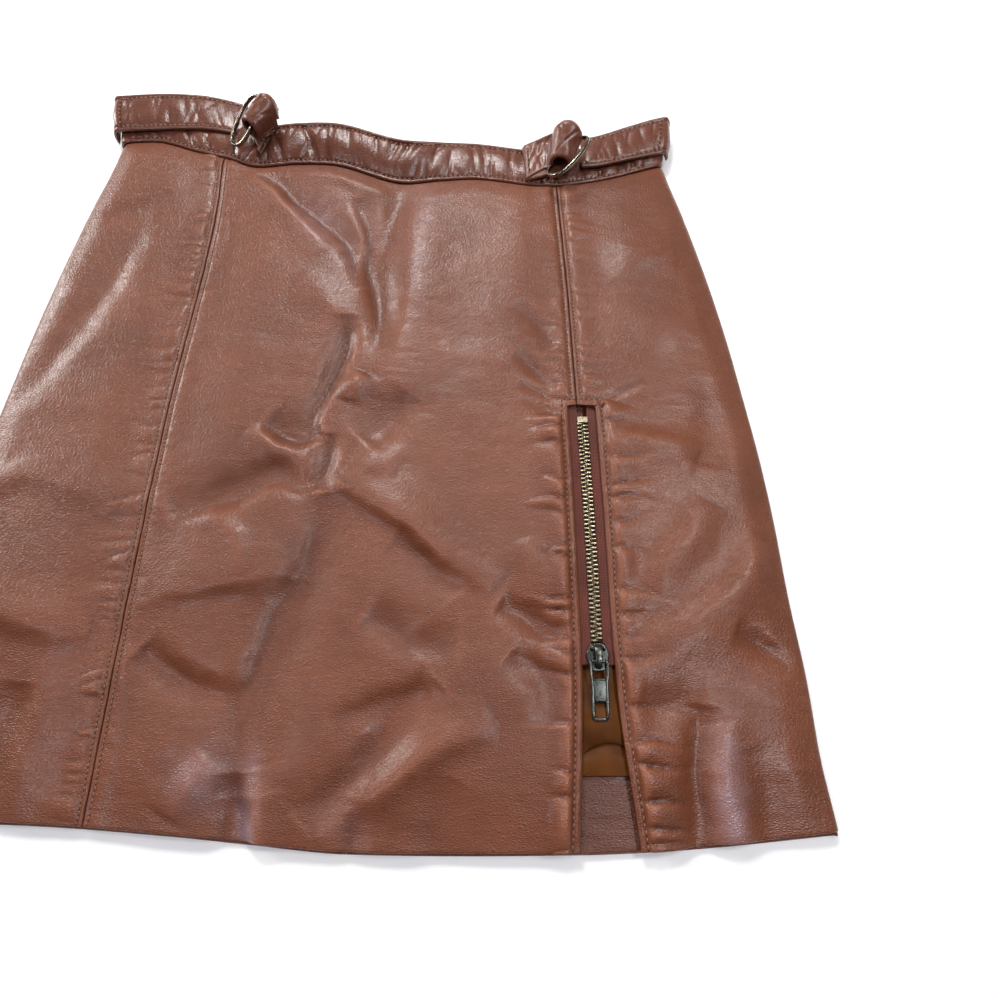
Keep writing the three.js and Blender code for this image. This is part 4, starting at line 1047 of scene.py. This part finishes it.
tab_right, tab_right_top, tab_right_v, tab_right_u = build_tab("right")
tab_left, tab_left_top, tab_left_v, tab_left_u = build_tab("left")


def tube(sections, closed):
    """Points and faces of a tube: sections holds a ring of points at each place along the path."""
    n, m = sections.shape[:2]
    index = np.arange(n * m).reshape(n, m)
    index = np.concatenate([index, index[:, :1]], axis=1)
    if closed:
        index = np.concatenate([index, index[:1]], axis=0)
    faces = [list(f) for f in grid_quads(index)]
    if not closed:
        faces += [list(range(m))[::-1], list(range((n - 1) * m, n * m))]
    return sections.reshape(-1, 3), faces


def build_ring(side):
    centre, long_way, out_way = (np.array(row, float) for row in BUCKLES[side][3:])
    long_way = long_way / np.linalg.norm(long_way)
    out = out_way - long_way * out_way.dot(long_way)
    out /= np.linalg.norm(out)
    thick = np.cross(long_way, out)
    angles = np.linspace(0, 2 * np.pi, 96, endpoint=False)
    c, s = np.cos(angles), np.sin(angles)
    power = 2 / 2.6
    turns = np.linspace(0, 2 * np.pi, 20, endpoint=False)
    grow = 0.75 * np.sign(np.cos(turns)) * np.abs(np.cos(turns)) ** 0.7
    off = 1.15 * np.sign(np.sin(turns)) * np.abs(np.sin(turns)) ** 0.7
    rings = np.empty((len(angles), len(turns), 3))
    for k in range(len(turns)):
        a = (15.0 + grow[k]) * np.sign(c) * np.abs(c) ** power
        b = (8.0 + grow[k]) * np.sign(s) * np.abs(s) ** power
        rings[:, k] = centre + a[:, None] * long_way + b[:, None] * out + off[k] * thick
    points, faces = tube(rings, True)
    return make_mesh("ring_%s_metal" % side, points, faces, RING_METAL, ["ring_" + side])


ring_right = build_ring("right")
ring_left = build_ring("left")

# ---- Zip ----

TAPE_END = 74.5


def tape_top(x, y):
    return base_height(np.asarray(x, float), np.asarray(y, float))[0] - LEATHER - 0.7


def build_tape(side, sign):
    v = np.concatenate([[0, 0.002, 0.006], np.linspace(0.01, 0.99, 130), [0.995, 0.998, 1]])[:, None]
    y = TAPE_END + (ZIP_TOP + 2 - TAPE_END) * v
    outside = (zip_left(y) if sign < 0 else zip_right(y)) + sign * 6
    inside = zip_middle(y) + sign * 2.55
    t = np.concatenate([[0, 0.02, 0.06], np.linspace(0.1, 0.9, 9), [0.94, 0.98, 1]])
    x = outside + (inside - outside) * (t if sign < 0 else 1 - t)
    y = np.broadcast_to(y, x.shape)
    z = tape_top(x, y) + 0.08 * wobble(x, y, 6, 9, 61)
    top = np.stack([x, y, z], axis=-1)
    d = np.minimum(np.abs(x - outside), np.abs(x - inside))
    edge = np.minimum(d, np.minimum(y - y[:1], y[-1:] - y))
    name = "zip_tape_" + side
    return shell(name + "_cloth", top, edge, 0.9, TAPE, [name], radius=0.5)


tape_left = build_tape("left", -1)
tape_right = build_tape("right", 1)


def box_points(sizes, bevel):
    """Corners and faces of a box with cut corners at its top, standing on Z = 0, sizes in X, Y and Z."""
    sx, sy, sz = sizes[0] / 2, sizes[1] / 2, sizes[2]
    pts = []
    for z, inset in ((0, 0), (sz - bevel, 0), (sz, bevel)):
        for px, py in ((-1, -1), (1, -1), (1, 1), (-1, 1)):
            pts.append((px * (sx - inset), py * (sy - inset), z))
    faces = [[3, 2, 1, 0], [8, 9, 10, 11]]
    for layer in (0, 4):
        for k in range(4):
            a, b = layer + k, layer + (k + 1) % 4
            faces.append([a, b, b + 4, a + 4])
    return np.array(pts), faces


def build_chain():
    """Interlocked metal teeth: each a foot that grips its tape and a head across the middle."""
    points, faces = [], []

    def add(more_points, more_faces):
        base = len(points)
        points.extend(np.asarray(more_points).tolist())
        faces.extend([[i + base for i in f] for f in more_faces])

    pitch = 2.1
    for k, y in enumerate(np.arange(85.4, 192.6, pitch / 2)):
        sign = -1 if k % 2 == 0 else 1
        mid = float(zip_middle(y))
        z = float(tape_top(mid, y)) - 0.9
        for sizes, dx in (((2.3, 1.05, 2.3), 1.45), ((1.7, 0.62, 2.0), 0.2)):
            pts, more = box_points(sizes, 0.3)
            add(pts + np.array([mid + sign * dx, y, z]), more)
    teeth = len(faces)
    # A near-black strip under the teeth: painted shade between and under them.
    painted_shade_cord = []
    for y in np.linspace(84.9, 192.8, 40):
        m = float(zip_middle(y))
        z = float(tape_top(m, y)) - 0.9
        painted_shade_cord.append([(m - 2.5, y, z), (m + 2.5, y, z), (m + 2.5, y, z + 0.8), (m - 2.5, y, z + 0.8)])
    add(*tube(np.array(painted_shade_cord), False))
    obj = make_mesh("zip_teeth", points, faces, BRASS, ["zip_chain"], smooth_faces=False)
    obj.data.materials.append(SHADOW_CLOTH)
    for i in range(teeth, len(faces)):
        obj.data.polygons[i].material_index = 1
    return obj


zip_teeth = build_chain()


def restyle(node, material, bevel=0.0):
    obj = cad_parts[node]
    obj.data.materials.clear()
    obj.data.materials.append(material)
    if bevel:
        m = obj.modifiers.new("soft edges", "BEVEL")
        m.width = bevel * MM
        m.segments = 2
        m.limit_method = "ANGLE"
        m.angle_limit = math.radians(35)
    return obj


restyle("zip_top_stop", BRASS, 0.25)

SLIDER_Y = 78.0
SLIDER_X = float(zip_middle(SLIDER_Y))
SLIDER_Z = float(tape_top(SLIDER_X, SLIDER_Y))


def rounded_bar(path, half_width, half_height, roundness=0.6, sides=16):
    """A bar with a rounded section along a path, with one half width and height at each of its points."""
    path = np.asarray(path, float)
    along = np.gradient(path, axis=0)
    along /= np.linalg.norm(along, axis=1, keepdims=True)
    up = np.array([0.0, 0.0, 1.0]) if abs(along[0, 2]) < 0.9 else np.array([0.0, 1.0, 0.0])
    side = np.cross(along, up)
    side /= np.linalg.norm(side, axis=1, keepdims=True)
    up = np.cross(side, along)
    turns = np.linspace(0, 2 * np.pi, sides, endpoint=False)
    a = np.sign(np.cos(turns)) * np.abs(np.cos(turns)) ** roundness
    b = np.sign(np.sin(turns)) * np.abs(np.sin(turns)) ** roundness
    wide = np.broadcast_to(half_width, len(path))[:, None, None]
    high = np.broadcast_to(half_height, len(path))[:, None, None]
    rings = path[:, None] + side[:, None] * a[None, :, None] * wide + up[:, None] * b[None, :, None] * high
    middle = rings.mean(axis=1, keepdims=True)
    rings[[0, -1]] = middle[[0, -1]] + (rings[[0, -1]] - middle[[0, -1]]) * 0.7
    return tube(rings, False)


def joined(parts):
    points, faces = [], []
    for more_points, more_faces in parts:
        base = len(points)
        points.extend(np.asarray(more_points).tolist())
        faces.extend([[i + base for i in f] for f in more_faces])
    return np.array(points), faces


def build_slider():
    """Two shaped plates round the teeth, a post between them and a high arch for the pull."""
    def plate(z, thick, grow):
        y = np.array([-6.1, -5.8, -4.6, -2.4, -0.4, 1.2, 2.6, 4.0, 5.2, 5.9, 6.1])
        half = np.array([2.6, 3.1, 3.4, 3.9, 4.6, 4.85, 4.5, 3.9, 3.5, 3.2, 2.6]) + grow
        path = np.stack([np.zeros(len(y)), y, np.full(len(y), z)], axis=1)
        return rounded_bar(path, half, thick / 2, 0.35, 24)

    def flange(sign):
        y = np.array([-5.4, -4, -1.5, 0.8, 2.4, 3.6])
        x = sign * np.array([2.9, 3.3, 4.0, 4.6, 4.5, 3.9])
        return rounded_bar(np.stack([x, y, np.full(len(y), 0.9)], axis=1), 0.55, 1.0, 0.6)

    t = np.linspace(0, 1, 22)
    y = -4.9 + 10.2 * t
    rise = 2.35 * np.clip(np.sin(np.pi * np.clip(t * 1.04, 0, 1)), 0, 1) ** 0.42
    arch = np.stack([np.zeros(len(t)), y, 2.0 + rise * (0.85 + 0.25 * t)], axis=1)
    parts = [
        plate(-1.0, 0.8, 0.0), plate(1.75, 0.8, 0.0), flange(-1), flange(1),
        rounded_bar(arch, 1.55 + 0.35 * smooth(t, 0.5, 1), 0.6, 0.5),
        rounded_bar([(-2.9, 2.6, 2.1), (-2.6, 4.4, 2.3), (-2.3, 6.0, 2.1)], 0.8, 0.5),
        rounded_bar([(2.9, 2.6, 2.1), (2.6, 4.4, 2.3), (2.3, 6.0, 2.1)], 0.8, 0.5),
    ]
    points, faces = joined(parts)
    points = points + np.array([SLIDER_X, SLIDER_Y, SLIDER_Z])
    return make_mesh("zip_slider_metal", points, faces, GUNMETAL, ["zip_slider"])


def build_pull():
    """The pull tab: two raised rims, a sunk plate between them, an open yoke above and a window below."""
    def rim(sign):
        y = np.array([0.5, -1, -4, -6.5, -8, -10, -16, -21, -23.4, -24.3])
        x = sign * np.array([3.6, 3.75, 3.7, 3.55, 3.3, 3.15, 3.15, 3.15, 3.1, 2.7])
        return rounded_bar(np.stack([x, y, np.zeros(len(y))], axis=1), 0.62, 0.72, 0.55)

    x = np.linspace(-3.0, 3.0, 7)
    foot = np.stack([x, -24.35 + 0.0 * x, 0.05 * np.ones(7)], axis=1)
    pin = np.stack([x * 1.2, 0.15 + 0 * x, 0 * x], axis=1)
    lip = np.stack([x, -7.6 + 0 * x, 0.1 + 0 * x], axis=1)
    plate = np.array([(0, y, -0.1) for y in (-7.6, -8.5, -12, -16.5, -17.6)])
    parts = [
        rim(-1), rim(1), rounded_bar(foot, 0.75, 0.78, 0.6), rounded_bar(pin, 0.6, 0.6, 1.0),
        rounded_bar(lip, 0.35, 0.5, 0.8), rounded_bar(plate, 3.0, 0.42, 0.3),
    ]
    points, faces = joined(parts)
    tilt = math.radians(5.8)
    y, z = points[:, 1].copy(), points[:, 2].copy()
    points[:, 1] = y * math.cos(tilt) - z * math.sin(tilt)
    points[:, 2] = y * math.sin(tilt) + z * math.cos(tilt)
    points = points + np.array([SLIDER_X, SLIDER_Y - 2.1, SLIDER_Z + 3.6])
    return make_mesh("zip_pull_metal", points, faces, GUNMETAL, ["zip_pull"], body="pull")


zip_slider = build_slider()
zip_pull = build_pull()

# ---- Lining and hem facing ----

def build_lining():
    x = np.linspace(95, 127, 54)[None, :]
    path = smooth_path(LINING_PATH, 6)[:, None]
    x, y, z = np.broadcast_arrays(x, path[..., 0], path[..., 1])
    middle = np.exp(-((x - 109.5) / 8) ** 2)
    y = y + smooth(60 - y, 0, 12) * (1 - smooth(34 - y, 0, 5)) * (-0.035 * (x - 110) ** 2 + 0.12 * (x - 109))
    low = 2.8 + 1.4 * (1 - smooth(y, 34.5, 39))
    z = low + (z - low) * (0.35 + 0.65 * middle)
    z = z + (0.35 * wobble(x, y, 8, 11, 71) + 0.12 * wobble(x + y, y, 4, 5, 72)) * smooth(y, 50, 56)
    top = np.stack([x, y, np.maximum(z, low)], axis=-1)[::-1]
    gone = np.linalg.norm(np.diff(top, axis=0), axis=2)
    along = np.concatenate([np.zeros((1, x.shape[1])), np.cumsum(gone, axis=0)])
    edge = np.minimum(np.minimum(x - 95, 127 - x), np.minimum(along, along[-1:] - along))
    return shell("lining_satin", top, edge, 0.5, SATIN, ["lining"], radius=0.4)


lining = build_lining()


def build_facing():
    x = np.concatenate([90 + np.array([0, 0.2, 0.5, 1.0]), np.linspace(92, 130, 40), 132 - np.array([1.0, 0.5, 0.2, 0])])[None, :]
    v = np.concatenate([[0, 0.005, 0.015, 0.03], np.linspace(0.05, 0.95, 40), [0.97, 0.985, 0.995, 1]])[:, None]
    low = hem_line(x) - BACK_HEM_DROP + 0.6
    y = low + (34 - low) * v
    x = np.broadcast_to(x, y.shape)
    z = 2.9 + 0.12 * wobble(x, y, 9, 2.4, 81)
    top = np.stack([x, y, z], axis=-1)
    edge = np.minimum(np.minimum(x - 90, 132 - x), np.minimum(y - low, 34 - y))
    return shell("hem_facing_leather", top, np.maximum(edge, 0), 1.2, FACING, ["hem_facing"], radius=0.8)


facing = build_facing()

# ---- Stitches ----

def stitch_row(name, path, normals, pitch=2.3, length=1.35, thick=0.55, rise=0.05):
    """Separate stitches along a path of points on the leather, with a dark disc between each two: painted shade for
    the needle hole.
    """
    step = np.linalg.norm(np.diff(path, axis=0), axis=1)
    at = np.concatenate([[0], np.cumsum(step)])
    count = int(at[-1] // pitch)
    points, faces = [], []
    rng = np.random.RandomState(len(name))

    def place(s):
        p, q = (np.array([np.interp(v, at, path[:, k]) for k in range(3)]) for v in (s - 0.05, s + 0.05))
        n = np.array([np.interp(s, at, normals[:, k]) for k in range(3)])
        along = (q - p) / max(np.linalg.norm(q - p), 1e-9)
        across = np.cross(n, along)
        return (p + q) / 2, n / np.linalg.norm(n), along, across / np.linalg.norm(across)

    def add(more_points, more_faces):
        base = len(points)
        points.extend(np.asarray(more_points).tolist())
        faces.extend([[i + base for i in face] for face in more_faces])

    turns = np.linspace(0, 2 * math.pi, 6, endpoint=False)
    for k in range(count):
        start = (k + 0.5) * at[-1] / count - length / 2
        shift = rng.normal(0, 0.05)
        rings = []
        for t, up, size in ((0, -0.3, 0.6), (0.18, 0.0, 0.95), (0.5, 0.12, 1.0), (0.82, 0.0, 0.95), (1, -0.3, 0.6)):
            p, n, along, across = place(start + t * length)
            c = p + n * (up + rise) + across * shift
            rings.append([c + (across * math.cos(a) + n * math.sin(a)) * thick / 2 * size for a in turns])
        add(*tube(np.array(rings), False))
    threads = len(faces)
    half = (pitch - length) / 2
    # Dark discs: painted shade for the needle holes.
    for k in range(count + 1):
        p, n, along, across = place(np.clip(k * at[-1] / count, 0.1, at[-1] - 0.1))
        add([p + n * (0.04 + rise) + across * math.cos(a) * thick * 0.62 + along * math.sin(a) * half * 0.9 for a in turns],
            [list(range(6))])
    obj = make_mesh(name, points, faces, THREAD)
    obj.data.materials.append(HOLE_SHADE)
    for i in range(threads, len(faces)):
        obj.data.polygons[i].material_index = 1
    return obj


def panel_path(xs, ys):
    """A path on the front's outer face, and the face's normals there."""
    xs, ys = np.asarray(xs, float), np.asarray(ys, float)
    z = front_height(xs, ys)
    h = 0.6
    nx = -(front_height(xs + h, ys) - front_height(xs - h, ys)) / (2 * h)
    ny = -(front_height(xs, ys + h) - front_height(xs, ys - h)) / (2 * h)
    normals = np.stack([nx, ny, np.ones(len(xs))], axis=1)
    return np.stack([xs, ys, z], axis=1), normals / np.linalg.norm(normals, axis=1, keepdims=True)


def vertical_rows():
    ys = np.linspace(11.5, 356, 700)
    stitch_row("stitches_left_seam_outer", *panel_path(left_seam(ys) - SEAM_STITCH, ys))
    ys = np.linspace(11.5, 355, 700)
    stitch_row("stitches_left_seam_inner", *panel_path(left_seam(ys) + SEAM_STITCH, ys))
    ys = np.linspace(ZIP_TOP + 4.5, 340, 300)
    stitch_row("stitches_right_seam_inner", *panel_path(curve(RIGHT_SEAM, ys) - SEAM_STITCH, ys))
    stitch_row("stitches_right_seam_outer", *panel_path(curve(RIGHT_SEAM, ys) + SEAM_STITCH, ys))
    ys = np.linspace(0.6, ZIP_TOP + ZIP_STITCH, 420)
    left_x, right_x = zip_left(ys) - ZIP_STITCH, zip_right(ys) + ZIP_STITCH
    top_x = np.linspace(left_x[-1], right_x[-1], 40)[1:-1]
    xs = np.concatenate([left_x, top_x, right_x[::-1]])
    yy = np.concatenate([ys, np.full(38, ys[-1]), ys[::-1]])
    stitch_row("stitches_zip", *panel_path(xs, yy), pitch=2.8, length=1.6, thick=0.6)


vertical_rows()


def grid_row(top, up_values, at, pick):
    """A path on a strap's grid at a distance from its lower edge."""
    normals = unit_normals(top)
    i = int(np.argmin(np.abs(up_values - at)))
    return top[i, pick], normals[i, pick]


def strap_stitches():
    look = {"pitch": 2.75, "length": 1.45, "thick": 0.95, "rise": 0.16}
    up = across_rounds(BAND_WIDTH)
    places = band_top[len(up) // 2, :, 0]
    keep = np.where(np.abs(places) < 150)[0]
    for label, at in (("lower", 2.6), ("upper", BAND_WIDTH - 2.6)):
        stitch_row("stitches_band_" + label, *grid_row(band_top, up, at, keep), **look)
    up = across_rounds(BELT_WIDTH)
    for side, top in (("right", belt_right_top), ("left", belt_left_top)):
        places = np.abs(top[len(up) // 2, :, 0])
        keep = np.where(places < 159)[0]
        for label, at in (("lower", 2.6), ("upper", BELT_WIDTH - 2.6)):
            stitch_row("stitches_belt_%s_%s" % (side, label), *grid_row(top, up, at, keep), **look)
        end = int(np.argmin(np.abs(places - 158.5)))
        inside = np.where((up > 3) & (up < BELT_WIDTH - 3))[0]
        stitch_row("stitches_belt_%s_end" % side, top[inside, end], unit_normals(top)[inside, end], **look)
    for side, top in (("right", tab_right_top), ("left", tab_left_top)):
        stitch_row("stitches_tab_" + side, top[8:-8, -7], unit_normals(top)[8:-8, -7], **look)


strap_stitches()

# ---- Floor, light and camera ----

def build_floor():
    mesh = bpy.data.meshes.new("floor")
    s = 3.0
    mesh.from_pydata([(-s, -s, 0), (s, -s, 0), (s, s, 0), (-s, s, 0)], [], [(0, 1, 2, 3)])
    mesh.materials.append(plain("pale floor", (0.97, 0.97, 0.965), 0.8))
    obj = bpy.data.objects.new("floor", mesh)
    bpy.context.scene.collection.objects.link(obj)


build_floor()


def aim(obj, at):
    obj.rotation_euler = (Vector(at) - obj.location).to_track_quat("-Z", "Y").to_euler()


def area_light(name, place, at, size, power, colour=(1, 1, 1)):
    light = bpy.data.lights.new(name, "AREA")
    light.shape = "RECTANGLE"
    light.size, light.size_y = size
    light.energy = power
    light.color = colour
    obj = bpy.data.objects.new(name, light)
    obj.location = place
    aim(obj, at)
    bpy.context.scene.collection.objects.link(obj)


area_light("window", (-0.12, 0.7, 0.75), (0, 0.02, 0), (0.3, 0.2), 7.2, (1, 0.98, 0.97))
area_light("side window", (-2.5, 1.35, 1.0), (0, 0, 0), (0.8, 0.6), 50.0, (1, 0.98, 0.96))
area_light("ceiling", (-0.57, -0.33, 1.06), (-0.05, -0.15, 0), (0.13, 0.13), 2.6, (0.9, 0.9, 1))
area_light("ceiling right", (0.5, -0.32, 1.06), (0.1, -0.15, 0), (0.1, 0.16), 3.8, (0.92, 0.92, 1))
area_light("right window", (0.5, 0.28, 1.05), (0.15, -0.05, 0), (0.24, 0.16), 4.2, (1, 0.98, 0.97))

world = bpy.data.worlds.new("studio")
bpy.context.scene.world = world
world.use_nodes = True
_nodes, _links = world.node_tree.nodes, world.node_tree.links
_way = _nodes.new("ShaderNodeTexCoord")
_split = _nodes.new("ShaderNodeSeparateXYZ")
_links.new(_way.outputs["Generated"], _split.inputs[0])
_sky = ramp(_nodes, _links, maths(_nodes, _links, "MULTIPLY_ADD", _split.outputs["Y"], 0.5), [
    (0.15, (0.3, 0.3, 0.3)), (0.55, (0.7, 0.695, 0.69)), (0.85, (1.1, 1.09, 1.07)),
])
_sky.node.inputs["Fac"].links[0].from_node.inputs[2].default_value = 0.5
_links.new(_sky, _nodes["Background"].inputs["Color"])
_nodes["Background"].inputs["Strength"].default_value = 0.23

camera = bpy.data.cameras.new("camera")
camera.sensor_width = 36.0
camera.lens = 36.0 * 628.2 / 1000.0
eye = bpy.data.objects.new("camera", camera)
_at = (np.array([64.5, 150.0, 13.0]) + OFFSET) * MM
_from = (np.array([64.5, 58.4, 296.2]) + OFFSET) * MM
eye.location = _from
aim(eye, _at)
bpy.context.scene.collection.objects.link(eye)
bpy.context.scene.camera = eye
bpy.context.scene.view_settings.view_transform = "Standard"
